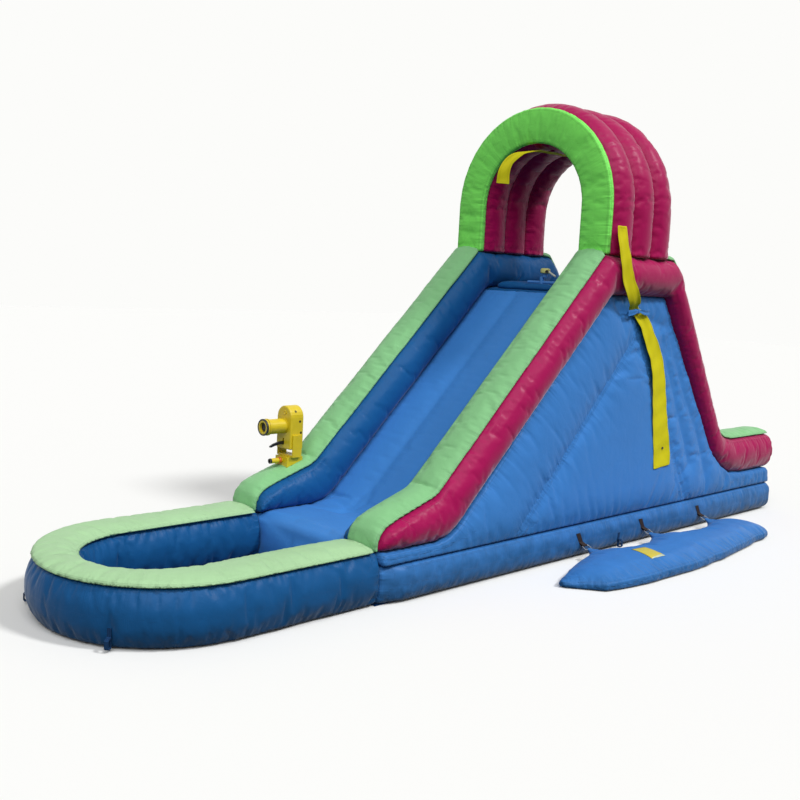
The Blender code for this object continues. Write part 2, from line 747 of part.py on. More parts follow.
def make_sides():
    """Makes the seamed side panels and the tubes along the ground."""
    for side, sign in both_sides():
        outline = [lowered(index) for index in range(len(RAIL_FOOT))]
        outline += [(RAIL_FOOT[-1][0], PANEL_FOOT_Z + GAP), (RAIL_FOOT[0][0], PANEL_FOOT_Z + GAP)]
        ends = sorted((sign * PANEL_INNER_X, sign * PANEL_FOOT_X))
        mesh = plate_mesh("panel", [outline], "YZ", *ends)
        for corner in mesh.vertices:
            if abs(corner.co.x) > (PANEL_INNER_X + PANEL_FOOT_X) / 2:
                corner.co.x = sign * panel_face(corner.co.z)
        panel = put("side_panel_" + side, mesh, BLUE)
        seam = [(sign * panel_face(height), place, height) for place, height in PANEL_SEAM]
        groove = wire_mesh("groove", seam, SEAM_RADIUS, False)
        combine(panel, cutter("seam_tool_" + side, groove), "DIFFERENCE")

        low = GROUND_THICKNESS + GAP
        rings = []
        front, rear = RAIL_FOOT[0][0], RAIL_FOOT[-1][0]
        for place, face in (
            (front, BASE_FRONT_X), (front + BASE_TAPER, BASE_FACE_X), (rear, BASE_FACE_X)
        ):
            rings.append([
                (
                    sign * (PANEL_INNER_X + (face - PANEL_INNER_X) * across),
                    place,
                    low + (PANEL_FOOT_Z - low) * up,
                )
                for across, up in BASE_SHARES
            ])
        put("base_tube_" + side, loft_mesh("base", rings), BLUE, SATIN)


def under_skin(place):
    """Returns the height of the skins' underside at a place along the slide."""
    knee, crest = lane_under()
    start, climb_knee = climb_under()
    if place < crest[0]:
        return line_height(place, knee, crest)
    if place < start[0]:
        return RAIL_FOOT[CREST][1] - SKIN_THICKNESS
    return line_height(place, start, climb_knee)


def make_webs():
    """Makes the cross webs inside, between the two side panels."""
    low = GROUND_THICKNESS + GAP
    half = SKIN_HALF_WIDTH
    for index, place in enumerate(along_rail(share) for share in WEB_PLACE_SHARES):
        back = place + WEB_THICKNESS
        outline = [
            (place, low), (back, low), (back, under_skin(back) - WEB_GAP),
            (place, under_skin(place) - WEB_GAP),
        ]
        name = "inner_web_" + ("front", "middle", "rear")[index]
        put(name, plate_mesh("web", [outline], "YZ", -half, half), BLUE, DULL)


def pool_stations():
    """Returns pairs of inner and outer plan points round the pool."""
    straight = [JOINT_Y - POOL_STRAIGHT * share for share in POOL_STRAIGHT_SHARES]
    pairs = [((POOL_INNER_X, place), (POOL_OUTER_X, place)) for place in straight]
    for step in range(POOL_STEPS + 1):
        angle = math.pi * step / POOL_STEPS
        across, along = math.cos(angle), math.sin(angle)
        pairs.append((
            (POOL_INNER_X * across, POOL_MIDDLE_Y - POOL_INNER_Y * along),
            (POOL_OUTER_X * across, POOL_MIDDLE_Y - POOL_OUTER_Y * along),
        ))
    pairs += [((-POOL_INNER_X, place), (-POOL_OUTER_X, place)) for place in reversed(straight)]
    return pairs


def pool_rings(shares, low, high, setback):
    """Carries a section round the pool, its ends set back from the slide."""
    pairs = pool_stations()
    rings = []
    for index, (inner, outer) in enumerate(pairs):
        inner, outer = Vector(inner), Vector(outer)
        if index in (0, len(pairs) - 1):
            inner.y -= setback
            outer.y -= setback
        ring = []
        for across, up in shares:
            place = inner.lerp(outer, across)
            ring.append((place.x, place.y, low + (high - low) * up))
        rings.append(ring)
    return rings


def make_pool():
    """Makes the pool's floor, its wall and the green rim."""
    low = FLOOR_THICKNESS + GAP
    wall = pool_rings(WALL_SHARES, low, POOL_WALL_TOP, GAP)
    put("pool_wall", loft_mesh("wall", wall), BLUE, SATIN)
    rim_low = POOL_WALL_TOP + GAP
    rim = pool_rings(RIM_SHARES, rim_low, rim_low + RIM_THICKNESS, RIM_SETBACK + GAP)
    put("pool_rim", loft_mesh("rim", rim), GREEN, SATIN)
    floor = pool_rings(((FLOOR_EDGE_share, 0),), low, low, GAP)
    outline = [ring[0][:2] for ring in floor]
    put("pool_floor", plate_mesh("floor", [outline], "XY", 0, FLOOR_THICKNESS), BLUE, SATIN)
    ground = box_mesh(
        "ground",
        (GROUND_INSET - BASE_FACE_X, RAIL_FOOT[0][0], 0),
        (BASE_FACE_X - GROUND_INSET, RAIL_FOOT[-1][0] - GROUND_MARGIN, GROUND_THICKNESS),
    )
    put("ground_sheet", ground, DEEP_BLUE, MATT)


def on_climb(share, shares, length, height):
    """Returns an outline that stands on the climbing wall's straight part."""
    start, end = Vector(RAIL_FOOT[CLIMB_START]), Vector(RAIL_FOOT[CLIMB_END])
    along = (end - start).normalized()
    away = Vector((-along.y, along.x))
    if away.x < 0:
        away = -away
    middle = start.lerp(end, share) + away * GAP
    return [
        tuple(middle + along * length * (run - 0.5) + away * height * rise)
        for run, rise in shares
    ]


def make_climb_details():
    """Makes the climbing steps and the two webbing handles."""
    for index, share in enumerate(STEP_PLACE_SHARES):
        outline = on_climb(share, STEP_SHARES, STEP_LENGTH, STEP_HEIGHT)
        mesh = plate_mesh("step", [outline], "YZ", -STEP_HALF_WIDTH, STEP_HALF_WIDTH)
        put("climb_step_" + str(index + 1), mesh, GREEN, SATIN)
    length, height = HANDLE_LENGTH, HANDLE_HEIGHT
    strap, bend, tail = HANDLE_STRAP, HANDLE_BEND, HANDLE_TAIL
    grip = (
        (0, 0), (tail / length, 0), (tail / length, strap / height),
        (bend / length + strap / length, strap / height),
        ((bend + strap * 2) / length, 1 - strap / height),
        (1 - (bend + strap * 2) / length, 1 - strap / height),
        (1 - bend / length - strap / length, strap / height),
        (1 - tail / length, strap / height), (1 - tail / length, 0), (1, 0),
        (1, strap / height), (1 - bend / length, strap / height * HANDLE_THROAT_share),
        (1 - (bend + strap) / length, 1), ((bend + strap) / length, 1),
        (bend / length, strap / height * HANDLE_THROAT_share), (0, strap / height),
    )
    for side, sign in both_sides():
        outline = on_climb(HANDLE_PLACE_share, grip, length, height)
        ends = sorted((sign * HANDLE_X, sign * (HANDLE_X + HANDLE_WIDTH)))
        put("climb_handle_" + side, plate_mesh("handle", [outline], "YZ", *ends), BLACK, MATT)


def bag_stations():
    """Returns the bag's outline in metres, with the stations that its tabs add."""
    stations = [
        (
            BAG_START_Y + BAG_LENGTH * run, BAG_BACK_X + BAG_WIDTH * back,
            BAG_BACK_X + BAG_WIDTH * front, BAG_HEIGHT * high,
        )
        for run, back, front, high in BAG_STATION_SHARES
    ]
    half = BAG_TAB_WIDTH / 2
    for tab in BAG_TABS:
        before = max(station for station in stations if station[0] < tab)
        after = min(station for station in stations if station[0] > tab)
        share = (tab - before[0]) / (after[0] - before[0])
        front, high = (before[k] + (after[k] - before[k]) * share for k in (2, 3))
        for place in (-half - BAG_TAB_FLARE, -half, half, half + BAG_TAB_FLARE):
            stations.append((tab + place, BAG_BACK_X, front, high))
    return sorted(stations)


def bag_ring(station):
    """Returns one section of the ballast bag."""
    place, back, front, height = station
    width = front - back
    on_tab = any(abs(place - tab) <= BAG_TAB_WIDTH / 2 + GAP for tab in BAG_TABS)
    edge = BAG_EDGE_X if on_tab else back
    edge_low = BAG_EDGE_Z if on_tab else height * BAG_EDGE_share
    edge_high = edge_low + min(BAG_EDGE_THICKNESS, height * (1 - 2 * BAG_EDGE_share))
    ring = [(edge, place, edge_low)]
    for across, up in BAG_UNDER_SHARES:
        ring.append((back + width * across, place, max(BAG_GROUND, edge_low * up)))
    for across, up in BAG_OVER_SHARES:
        high = max(height * up, edge_high + BAG_EDGE_STEP)
        low = across > BAG_OVER_SHARES[-1][0]
        ring.append((back + width * across, place, height * up if low else high))
    ring.append((edge, place, edge_high))
    return ring


def make_bag():
    """Makes the ballast bag with its hems, and its straps and rings."""
    sections = [bag_ring(station) for station in bag_stations()]
    bag = put("ballast_bag", loft_mesh("bag", sections), BLUE)
    half = BAG_TAB_WIDTH / 2
    for index, tab in enumerate(BAG_TABS):
        number = str(index + 1)
        start, end = (RING_BAR_X, tab - half, RING_BAR_Z), (RING_BAR_X, tab + half, RING_BAR_Z)
        hem = drum_mesh("hem", HEM_RADIUS, start, end, SMALL_ROUND)
        combine(bag, cutter("hem_" + number, hem), "UNION")
        start = (RING_BAR_X, tab - 2 * half, RING_BAR_Z)
        end = (RING_BAR_X, tab + 2 * half, RING_BAR_Z)
        combine(
            bag, cutter("hem_bore_" + number, drum_mesh("bore", HEM_BORE, start, end, SMALL_ROUND)),
            "DIFFERENCE",
        )
        long, corner = RING_HALF_LENGTH, RING_CORNER
        lean = Vector((RING_STRAP_X - RING_BAR_X, 0, RING_STRAP_Z - RING_BAR_Z))
        unit = lean.normalized() * corner
        bar = Vector((RING_BAR_X, tab, RING_BAR_Z))
        far = bar + lean
        loop = [
            bar + Vector((0, -long + corner, 0)), bar + Vector((0, long - corner, 0)),
            bar + Vector((0, long, 0)) + unit, far + Vector((0, long, 0)) - unit,
            far + Vector((0, long - corner, 0)), far + Vector((0, -long + corner, 0)),
            far + Vector((0, -long, 0)) - unit, bar + Vector((0, -long, 0)) + unit,
        ]
        put("ballast_ring_" + number, wire_mesh("ring", loop, RING_WIRE, True), STEEL, SHINY)
        wall = BASE_FACE_X + GAP
        eye, wrap = STRAP_EYE, STRAP_WRAP
        x, z = RING_STRAP_X, RING_STRAP_Z
        outline = [
            (wall, STRAP_TOP_Z), (wall + STRAP_THICKNESS, STRAP_TOP_Z),
            (wall + STRAP_THICKNESS, STRAP_LEAVES_Z),
        ]
        outline += [(x + wrap * across, z + wrap * up) for across, up in STRAP_WRAP_SHARES]
        outline.append((wall, z + wrap / 2))
        hole = circle((x, z), eye, EYE_ROUND)
        strap = plate_mesh(
            "strap", [outline, hole], "XZ", tab - STRAP_WIDTH / 2, tab + STRAP_WIDTH / 2
        )
        slant = Matrix.Translation((0, STRAP_SLANT * z, 0))
        slant[1][2] = -STRAP_SLANT
        strap.transform(slant)
        put("ballast_strap_" + number, strap, BLACK, MATT)
    set_origin(bag, (RING_BAR_X, BAG_TABS[1], RING_BAR_Z))


def anchor_outlines():
    """Returns the side view of a webbing eye: distance from its wall, height."""
    strap, reach = ANCHOR_STRAP, ANCHOR_REACH
    low, high = ANCHOR_LOW_Z, ANCHOR_HIGH_Z
    bend, throat = reach * ANCHOR_BEND_share, reach * ANCHOR_THROAT_share
    fold = strap * ANCHOR_FOLD_share
    outer = [
        (GAP, ANCHOR_TOP_Z), (GAP + strap, ANCHOR_TOP_Z), (GAP + strap, high),
        (bend, high - strap), (reach, high - 3 * strap), (reach, low + 2 * strap),
        (bend, low), (GAP + strap, low), (GAP, low + strap),
    ]
    hole = [
        (GAP + strap, high - fold), (throat, high - strap - fold),
        (reach - strap, high - 4 * strap), (reach - strap, low + strap + fold),
        (throat, low + strap), (GAP + fold, low + strap),
        (GAP + strap, low + 2 * strap),
    ]
    return [outer, hole]


def make_anchors():
    """Makes four webbing eyes: one on each base tube and two on the pool's front."""
    half = ANCHOR_WIDTH / 2
    low = FLOOR_THICKNESS + GAP
    stations = pool_rings(WALL_SHARES, low, POOL_WALL_TOP, GAP)
    spots = []
    for side, sign in both_sides():
        place = Vector((sign * BASE_FACE_X, along_rail(ANCHOR_SIDE_share), 0))
        spots.append(("side_" + side, place, Vector((sign, 0, 0))))
        step = len(POOL_STRAIGHT_SHARES) + ANCHOR_POOL_STEP
        if sign < 0:
            step = len(stations) - 2 - step
        first, second = Vector(stations[step][WALL_FACE_POINT]), Vector(stations[step + 1][WALL_FACE_POINT])
        along = (second - first).normalized()
        away = Vector((-along.y, along.x, 0)).normalized()
        middle = (first + second) / 2
        if away.dot(middle - Vector((0, POOL_MIDDLE_Y, 0))) < 0:
            away = -away
        spots.append(("pool_" + side, Vector((middle.x, middle.y, 0)), away))
    for name, place, away in spots:
        mesh = plate_mesh("anchor", anchor_outlines(), "XZ", -half, half)
        turn = Matrix.Rotation(math.atan2(away.y, away.x), 4, "Z")
        mesh.transform(Matrix.Translation(place) @ turn)
        put("anchor_" + name, mesh, BLACK, MATT)


def sleeve_rings(route, flat):
    """Carries a flattened round section along a route of points and widths."""
    rings = []
    for index, (x, y, z, width) in enumerate(route):
        before = Vector(route[max(index - 1, 0)][:3])
        after = Vector(route[min(index + 1, len(route) - 1)][:3])
        along = (after - before).normalized()
        across = along.cross(flat).normalized()
        up = across.cross(along).normalized()
        ring = []
        for step in range(SLEEVE_SIDES):
            angle = 2 * math.pi * step / SLEEVE_SIDES
            offset = across * (width / 2 * math.cos(angle))
            offset += up * (SLEEVE_THICKNESS / 2 * math.sin(angle))
            ring.append(tuple(Vector((x, y, z)) + offset))
        rings.append(ring)
    return rings


def make_sleeves():
    """Makes the yellow hose sleeves, the keeper and the lane's sprinkler."""
    outer = sleeve_rings(SLEEVE_OUTER_ROUTE, Vector((1, 0, 0)))
    put("hose_sleeve_outer", loft_mesh("sleeve", outer), YELLOW, DULL)
    crown = ARCH_CENTRE_Z + ARCH_INNER + (ARCH_OUTER - ARCH_INNER) * min(s[0] for s in LOBE_SHARES)
    middle = crown - 2 * GAP - SLEEVE_THICKNESS / 2
    route = [(x, y, middle - drop, width) for x, y, drop, width in SLEEVE_INNER_ROUTE]
    inner = sleeve_rings(route, Vector((0, 0, 1)))
    put("hose_sleeve_inner", loft_mesh("sleeve", inner), YELLOW, DULL)

    back = panel_face(KEEPER_Z - KEEPER_HEIGHT / 2) + GAP
    half, hole = KEEPER_HALF_LENGTH, KEEPER_HOLE_HALF_LENGTH
    outline = [
        (back, KEEPER_Y - half), (back + KEEPER_DEPTH, KEEPER_Y - half),
        (back + KEEPER_DEPTH, KEEPER_Y + half), (back, KEEPER_Y + half),
    ]
    wall = KEEPER_THICKNESS
    eye = [
        (back + wall, KEEPER_Y - hole), (back + KEEPER_DEPTH - wall, KEEPER_Y - hole),
        (back + KEEPER_DEPTH - wall, KEEPER_Y + hole), (back + wall, KEEPER_Y + hole),
    ]
    low = KEEPER_Z - KEEPER_HEIGHT / 2
    keeper = plate_mesh("keeper", [outline, eye], "XY", low, low + KEEPER_HEIGHT)
    put("sleeve_keeper", keeper, BLUE, DULL)

    floor = RAIL_FOOT[CREST][1] + MAT_THICKNESS + GAP
    line = RAIL_FOOT[CREST][0] + SPRINKLER_SETBACK
    place = Vector((0, line, floor + SPRINKLER_RADIUS))
    long = Vector((SPRINKLER_HALF_LENGTH, 0, 0))
    bar = drum_mesh("bar", SPRINKLER_RADIUS, place - long, place + long, SMALL_ROUND)
    bar = put("lane_sprinkler", bar, PALE)
    top = Vector((0, line, floor + NOZZLE_HEIGHT))
    foot = Vector((0, line, floor))
    nozzle = drum_mesh("nozzle", NOZZLE_RADIUS, foot, top, SMALL_ROUND)
    combine(bar, cutter("nozzle_tool", nozzle), "UNION")


def make_inlet_tube():
    """Makes the fabric tube that a blower is tied into, on the hidden side."""
    start = Vector((-BASE_FACE_X - GAP, along_rail(INLET_TUBE_share), INLET_TUBE_Z))
    end = start - Vector((INLET_TUBE_LENGTH, 0, 0))
    tube = put("blower_tube", drum_mesh("tube", INLET_TUBE_RADIUS, start, end), BLUE, DULL)
    inside = start - Vector((INLET_TUBE_WALL, 0, 0))
    beyond = end - Vector((INLET_TUBE_WALL, 0, 0))
    bore = drum_mesh("bore", INLET_TUBE_RADIUS - INLET_TUBE_WALL, inside, beyond)
    combine(tube, cutter("blower_tube_bore", bore), "DIFFERENCE")


def cannon_place():
    """Returns where the cannon stands: its place along the slide and the top of its foot."""
    station, after = Vector(RAIL_TOP[CANNON_STATION]), Vector(RAIL_TOP[CANNON_STATION + 1])
    middle = station.lerp(after, CANNON_PLACE_share)
    lift = CAP_THICKNESS * (after - station).length / (after.x - station.x)
    return middle.x, middle.y + lift + FOOT_RISE


def make_cannon_stand():
    """Makes the cannon's foot on the rail, its inlet spout and the swivelling yoke."""
    x = -SEAM_X
    cannon_y, foot_top = cannon_place()
    pivot_z = foot_top + PIVOT_RISE
    cheek_top = foot_top + CHEEK_HEIGHT
    spout_z = foot_top - SPOUT_DROP
    station = Vector(RAIL_TOP[CANNON_STATION])
    after = Vector(RAIL_TOP[CANNON_STATION + 1])
    along = (after - station).normalized()
    lift = (CAP_THICKNESS + GAP) / along.x
    near, far = cannon_y - FOOT_HALF_LENGTH, cannon_y + FOOT_HALF_LENGTH
    outline = [
        (near, line_height(near, station, after) + lift),
        (far, line_height(far, station, after) + lift),
        (far, foot_top), (near, foot_top),
    ]
    ends = (x - FOOT_HALF_WIDTH, x + FOOT_HALF_WIDTH)
    foot = put("cannon_foot", plate_mesh("foot", [outline], "YZ", *ends), YELLOW, SHINY)
    low = foot_top - POST_RADIUS / 2
    post = drum_mesh(
        "post", POST_RADIUS, (x, cannon_y, low), (x, cannon_y, foot_top + POST_HEIGHT)
    )
    combine(foot, cutter("cannon_post", post), "UNION")

    start, end = (x, near - GAP, spout_z), (x, near - SPOUT_LENGTH, spout_z)
    spout = put("cannon_inlet", drum_mesh("spout", SPOUT_RADIUS, start, end), YELLOW, SHINY)
    deep = (x, near - SPOUT_LENGTH / 2, spout_z)
    beyond = (x, near - SPOUT_LENGTH - MOUTH_LENGTH, spout_z)
    combine(spout, cutter("inlet_bore", drum_mesh("bore", SPOUT_BORE, deep, beyond)), "DIFFERENCE")
    start = (x, near - SPOUT_LENGTH - GAP, spout_z)
    end = (x, near - SPOUT_LENGTH - MOUTH_LENGTH, spout_z)
    mouth = put("cannon_inlet_mouth", drum_mesh("mouth", SPOUT_RADIUS, start, end), BLACK, SATIN)
    beyond = (x, near - SPOUT_LENGTH - 2 * MOUTH_LENGTH, spout_z)
    combine(mouth, cutter("mouth_bore", drum_mesh("bore", SPOUT_BORE, deep, beyond)), "DIFFERENCE")

    low = foot_top + GAP
    inner = SHELL_HALF_WIDTH + GAP
    outer = inner + CHEEK_THICKNESS
    profile = [
        (x - outer, low), (x + outer, low), (x + outer, cheek_top), (x + inner, cheek_top),
        (x + inner, low + YOKE_PLATE), (x - inner, low + YOKE_PLATE), (x - inner, cheek_top),
        (x - outer, cheek_top),
    ]
    half = YOKE_HALF_LENGTH
    yoke = plate_mesh("yoke", [profile], "XZ", cannon_y - half, cannon_y + half)
    yoke = put("cannon_yoke", yoke, YELLOW, SHINY)
    hole = drum_mesh(
        "hole", POST_RADIUS + RUNNING_CLEARANCE, (x, cannon_y, low - YOKE_PLATE),
        (x, cannon_y, low + 2 * YOKE_PLATE),
    )
    combine(yoke, cutter("yoke_bore", hole), "DIFFERENCE")
    hole = drum_mesh(
        "hole", TRUNNION_RADIUS + RUNNING_CLEARANCE, (x - 2 * outer, cannon_y, pivot_z),
        (x + 2 * outer, cannon_y, pivot_z),
    )
    combine(yoke, cutter("trunnion_bore", hole), "DIFFERENCE")
    set_origin(yoke, (x, cannon_y, foot_top))


def make_cannon_head():
    """Makes the cannon's two shells, its barrel and its trigger."""
    x = -SEAM_X
    cannon_y, foot_top = cannon_place()
    pivot_z = foot_top + PIVOT_RISE
    shell_low = foot_top + SHELL_RISE
    barrel_z = foot_top + BARREL_RISE
    barrel_front = cannon_y - BARREL_REACH
    trigger_y, trigger_z = cannon_y - TRIGGER_PIVOT_FORWARD, foot_top + TRIGGER_PIVOT_RISE
    wide = SHELL_HALF_WIDTH + GAP + CHEEK_THICKNESS
    near, far = cannon_y - SHELL_HALF_LENGTH, cannon_y + SHELL_HALF_LENGTH
    for side, sign in both_sides():
        seam = x + sign * GAP / 2
        face = x + sign * SHELL_HALF_WIDTH
        crown = shell_low + SHELL_HEIGHT
        outline = [(seam, shell_low), (face, shell_low)]
        outline += [
            (seam + (face - seam) * across, crown - SHELL_HALF_WIDTH * (1 - up))
            for across, up in SHELL_CROWN_SHARES
        ]
        mesh = plate_mesh("shell", [outline], "XZ", near, far)
        shell = put("cannon_shell_" + side, mesh, YELLOW, GLOSSY)
        outer_edges(shell, seam)
        start = (face - sign * TRUNNION_RADIUS, cannon_y, pivot_z)
        stub = drum_mesh("stub", TRUNNION_RADIUS, start, (x + sign * wide, cannon_y, pivot_z))
        combine(shell, cutter("trunnion_" + side, stub), "UNION")
        bore = drum_mesh(
            "bore", BARREL_RADIUS + GAP, (x, near - BARREL_RADIUS, barrel_z),
            (x, far + BARREL_RADIUS, barrel_z),
        )
        combine(shell, cutter("barrel_bore_" + side, bore), "DIFFERENCE")
        slot = box_mesh(
            "slot",
            (x - TRIGGER_HALF_WIDTH - TRIGGER_SLOT_CLEARANCE, near - TRIGGER_SLOT_DEPTH,
             trigger_z - TRIGGER_SLOT_LOW),
            (x + TRIGGER_HALF_WIDTH + TRIGGER_SLOT_CLEARANCE, trigger_y + TRIGGER_SLOT_LOW,
             trigger_z + TRIGGER_SLOT_HIGH),
        )
        combine(shell, cutter("trigger_slot_" + side, slot), "DIFFERENCE")
        long = TRIGGER_PIN_HALF_LENGTH + TRIGGER_SLOT_CLEARANCE
        pin_hole = drum_mesh(
            "pin_hole", TRIGGER_PIN_RADIUS + RUNNING_CLEARANCE,
            (x - long, trigger_y, trigger_z), (x + long, trigger_y, trigger_z),
            SMALL_ROUND,
        )
        combine(shell, cutter("pin_hole_" + side, pin_hole), "DIFFERENCE")
        set_origin(shell, (x, cannon_y, pivot_z))

    start, end = (x, barrel_front, barrel_z), (x, far, barrel_z)
    barrel = put("cannon_barrel", drum_mesh("barrel", BARREL_RADIUS, start, end), YELLOW, GLOSSY)
    collar = drum_mesh(
        "collar", BARREL_RADIUS + BARREL_COLLAR, start,
        (x, barrel_front + BARREL_COLLAR_LENGTH, barrel_z),
    )
    combine(barrel, cutter("barrel_collar", collar), "UNION")
    bore = drum_mesh(
        "bore", BARREL_BORE, (x, barrel_front - BARREL_BORE, barrel_z), (x, near, barrel_z)
    )
    combine(barrel, cutter("barrel_inside", bore), "DIFFERENCE")
    set_origin(barrel, (x, cannon_y, pivot_z))

    profile = [
        (trigger_y + TRIGGER_LENGTH * run, trigger_z + TRIGGER_LENGTH * rise)
        for run, rise in TRIGGER_PROFILE_SHARES
    ]
    ends = (x - TRIGGER_HALF_WIDTH, x + TRIGGER_HALF_WIDTH)
    trigger = put("cannon_trigger", plate_mesh("trigger", [profile], "YZ", *ends), BLACK, SATIN)
    pin = drum_mesh(
        "pin", TRIGGER_PIN_RADIUS,
        (x - TRIGGER_PIN_HALF_LENGTH, trigger_y, trigger_z),
        (x + TRIGGER_PIN_HALF_LENGTH, trigger_y, trigger_z), SMALL_ROUND,
    )
    combine(trigger, cutter("trigger_pin", pin), "UNION")
    set_origin(trigger, (x, trigger_y, trigger_z))


def outer_edges(shell, seam):
    """Rounds a shell's sharp edges, except those on the plane where its halves meet."""
    work = bmesh.new()
    work.from_mesh(shell.data)
    edges = [
        edge for edge in work.edges
        if edge.calc_face_angle() > SHARP_ANGLE
        and any(abs(corner.co.x - seam) > MERGE for corner in edge.verts)
    ]
    bmesh.ops.bevel(work, geom=edges, offset=SHELL_BEVEL, segments=EDGE_STEPS, affect="EDGES", profile=0.5)
    bmesh.ops.recalc_face_normals(work, faces=work.faces)
    work.to_mesh(shell.data)
    work.free()


clear_scene()
slide = make_collection(COLLECTION_NAME)
tools = make_collection(CUTTER_COLLECTION_NAME)
tools.hide_render = True
make_pool()
make_skins()
make_sides()
make_webs()
make_bolsters()
make_caps()
make_arch()
make_climb_details()
make_bag()
make_anchors()
make_sleeves()
make_inlet_tube()
make_cannon_stand()
make_cannon_head()
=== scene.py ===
"""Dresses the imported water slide: inflated cloth, sleeves, fittings, finishes, stage and camera."""

import json
import math
from collections import namedtuple

import bmesh
import bpy
import numpy as np
from mathutils import Matrix, Vector
from mathutils.bvhtree import BVHTree
from mathutils.kdtree import KDTree

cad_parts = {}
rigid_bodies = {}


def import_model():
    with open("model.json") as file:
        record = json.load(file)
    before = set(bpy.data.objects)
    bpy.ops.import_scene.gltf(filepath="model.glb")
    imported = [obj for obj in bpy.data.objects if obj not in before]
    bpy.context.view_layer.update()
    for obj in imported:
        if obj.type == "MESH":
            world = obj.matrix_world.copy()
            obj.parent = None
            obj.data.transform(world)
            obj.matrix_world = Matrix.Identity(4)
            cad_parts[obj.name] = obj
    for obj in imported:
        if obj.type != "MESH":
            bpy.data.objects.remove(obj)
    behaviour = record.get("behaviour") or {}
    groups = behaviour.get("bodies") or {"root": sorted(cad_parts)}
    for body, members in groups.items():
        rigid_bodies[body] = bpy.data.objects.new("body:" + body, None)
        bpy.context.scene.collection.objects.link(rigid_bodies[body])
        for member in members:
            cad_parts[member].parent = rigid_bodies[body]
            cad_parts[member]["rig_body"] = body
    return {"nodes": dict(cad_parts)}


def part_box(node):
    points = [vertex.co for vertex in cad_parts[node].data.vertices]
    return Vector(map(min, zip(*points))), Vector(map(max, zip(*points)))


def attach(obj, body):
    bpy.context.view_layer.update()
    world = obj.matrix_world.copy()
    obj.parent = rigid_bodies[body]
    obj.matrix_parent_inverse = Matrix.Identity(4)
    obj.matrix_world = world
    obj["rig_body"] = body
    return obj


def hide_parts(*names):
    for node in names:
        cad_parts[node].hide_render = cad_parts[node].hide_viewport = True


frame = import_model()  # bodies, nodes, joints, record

bl_info = {
    "name": "Inflatable water slide",
    "version": (1, 0, 0),
    "blender": (4, 5, 0),
    "location": "View3D > Sidebar > Water slide",
    "description": "Dresses the packed inflatable water slide for a render",
    "category": "Object",
}

MERGE = 0.0001

# Finish and record slot of what is used most
BLUE = ("blue_coated_nylon", "blue_vinyl")
# The deep blue finish is the blue painted darker, for the shade on the inner rolls, deck and pool
SHADED_BLUE = ("deep_blue_coated_nylon", "blue_vinyl")
GREEN = ("green_coated_nylon", "green_vinyl")
MAGENTA = ("magenta_coated_nylon", "magenta_vinyl")
BLACK = ("black_moulded_abs", "black_plastic")
YELLOW = ("yellow_moulded_abs", "yellow_plastic")

# How cloth is let out: cell of the net, spare cloth, air pressure, steps, farthest move
Puff = namedtuple("Puff", "cell spare pressure steps reach")
ROLL = Puff(0.013, 0.018, 3.0, 16, 0.018)
BAND = Puff(0.014, 0.020, 2.0, 14, 0.012)
FACE = Puff(0.012, 0.016, 3.0, 16, 0.020)
LOBE = Puff(0.014, 0.020, 3.0, 16, 0.020)
PANEL = Puff(0.016, 0.032, 3.0, 18, 0.036)
TUBE = Puff(0.016, 0.012, 1.5, 12, 0.006)
WALL = Puff(0.014, 0.040, 3.0, 18, 0.020)
RIM = Puff(0.013, 0.030, 2.0, 16, 0.012)
SKIN = Puff(0.020, 0.015, 2.0, 12, 0.014)
STEP = Puff(0.012, 0.030, 3.0, 14, 0.010)
BAG = Puff(0.010, 0.022, 1.6, 14, 0.008)

# How full the soft pieces are
FULL = 0.95
FIRM = 0.9
SLACK = 0.8

# Pins hold cloth this near to another piece, and this near to a sewn edge in cells
CONTACT = 0.0045
SEAM_REACH = 0.75
# An edge that bends by more than this is sewn, and what it does to the cloth fades this far off
SHARP = 0.60
SEAM_FADE = 0.05
SOFTEN_STEPS = 3
CLOTH_QUALITY = 4
# A form whose underside is lower than this lies on the ground and swells no lower
LYING = 0.01

# Folds that the cloth keeps when it is blown up, as points that are dropped onto it
PANEL_DROP = (-1, 0, 0)
PANEL_FOLDS = (
    ((0.7, 0.667, 1.572), (0.7, 0.928, 1.549), (0.7, 1.117, 1.489), (0.7, 1.269, 1.463)),
    ((0.7, 1.269, 1.463), (0.7, 1.502, 1.025), (0.7, 1.721, 0.698), (0.7, 1.868, 0.373)),
    ((0.7, 1.216, 1.346), (0.7, 1.352, 1.064), (0.7, 1.493, 0.766), (0.7, 1.622, 0.496)),
    ((0.7, 1.150, 1.250), (0.7, 1.228, 0.965), (0.7, 1.343, 0.607)),
    ((0.7, 2.163, 0.354), (0.7, 2.185, 0.240)),
    ((0.7, 2.307, 0.309), (0.7, 2.340, 0.240)),
)
LANE_DROP = (0, 0, -1)
LANE_FOLDS = tuple(((x, -1.0, 3.0), (x, 0.50, 3.0)) for x in (-0.12, 0.12))
FACE_DROP = (0, 1, 0)
FACE_FOLDS = (
    ((0.350, 0.4, 2.546), (0.403, 0.4, 2.625)),
    ((0.549, 0.4, 2.401), (0.478, 0.4, 2.341), (0.425, 0.4, 2.290)),
    ((-0.610, 0.4, 2.185), (-0.500, 0.4, 2.170)),
    ((-0.600, 0.4, 2.058), (-0.470, 0.4, 2.050)),
)

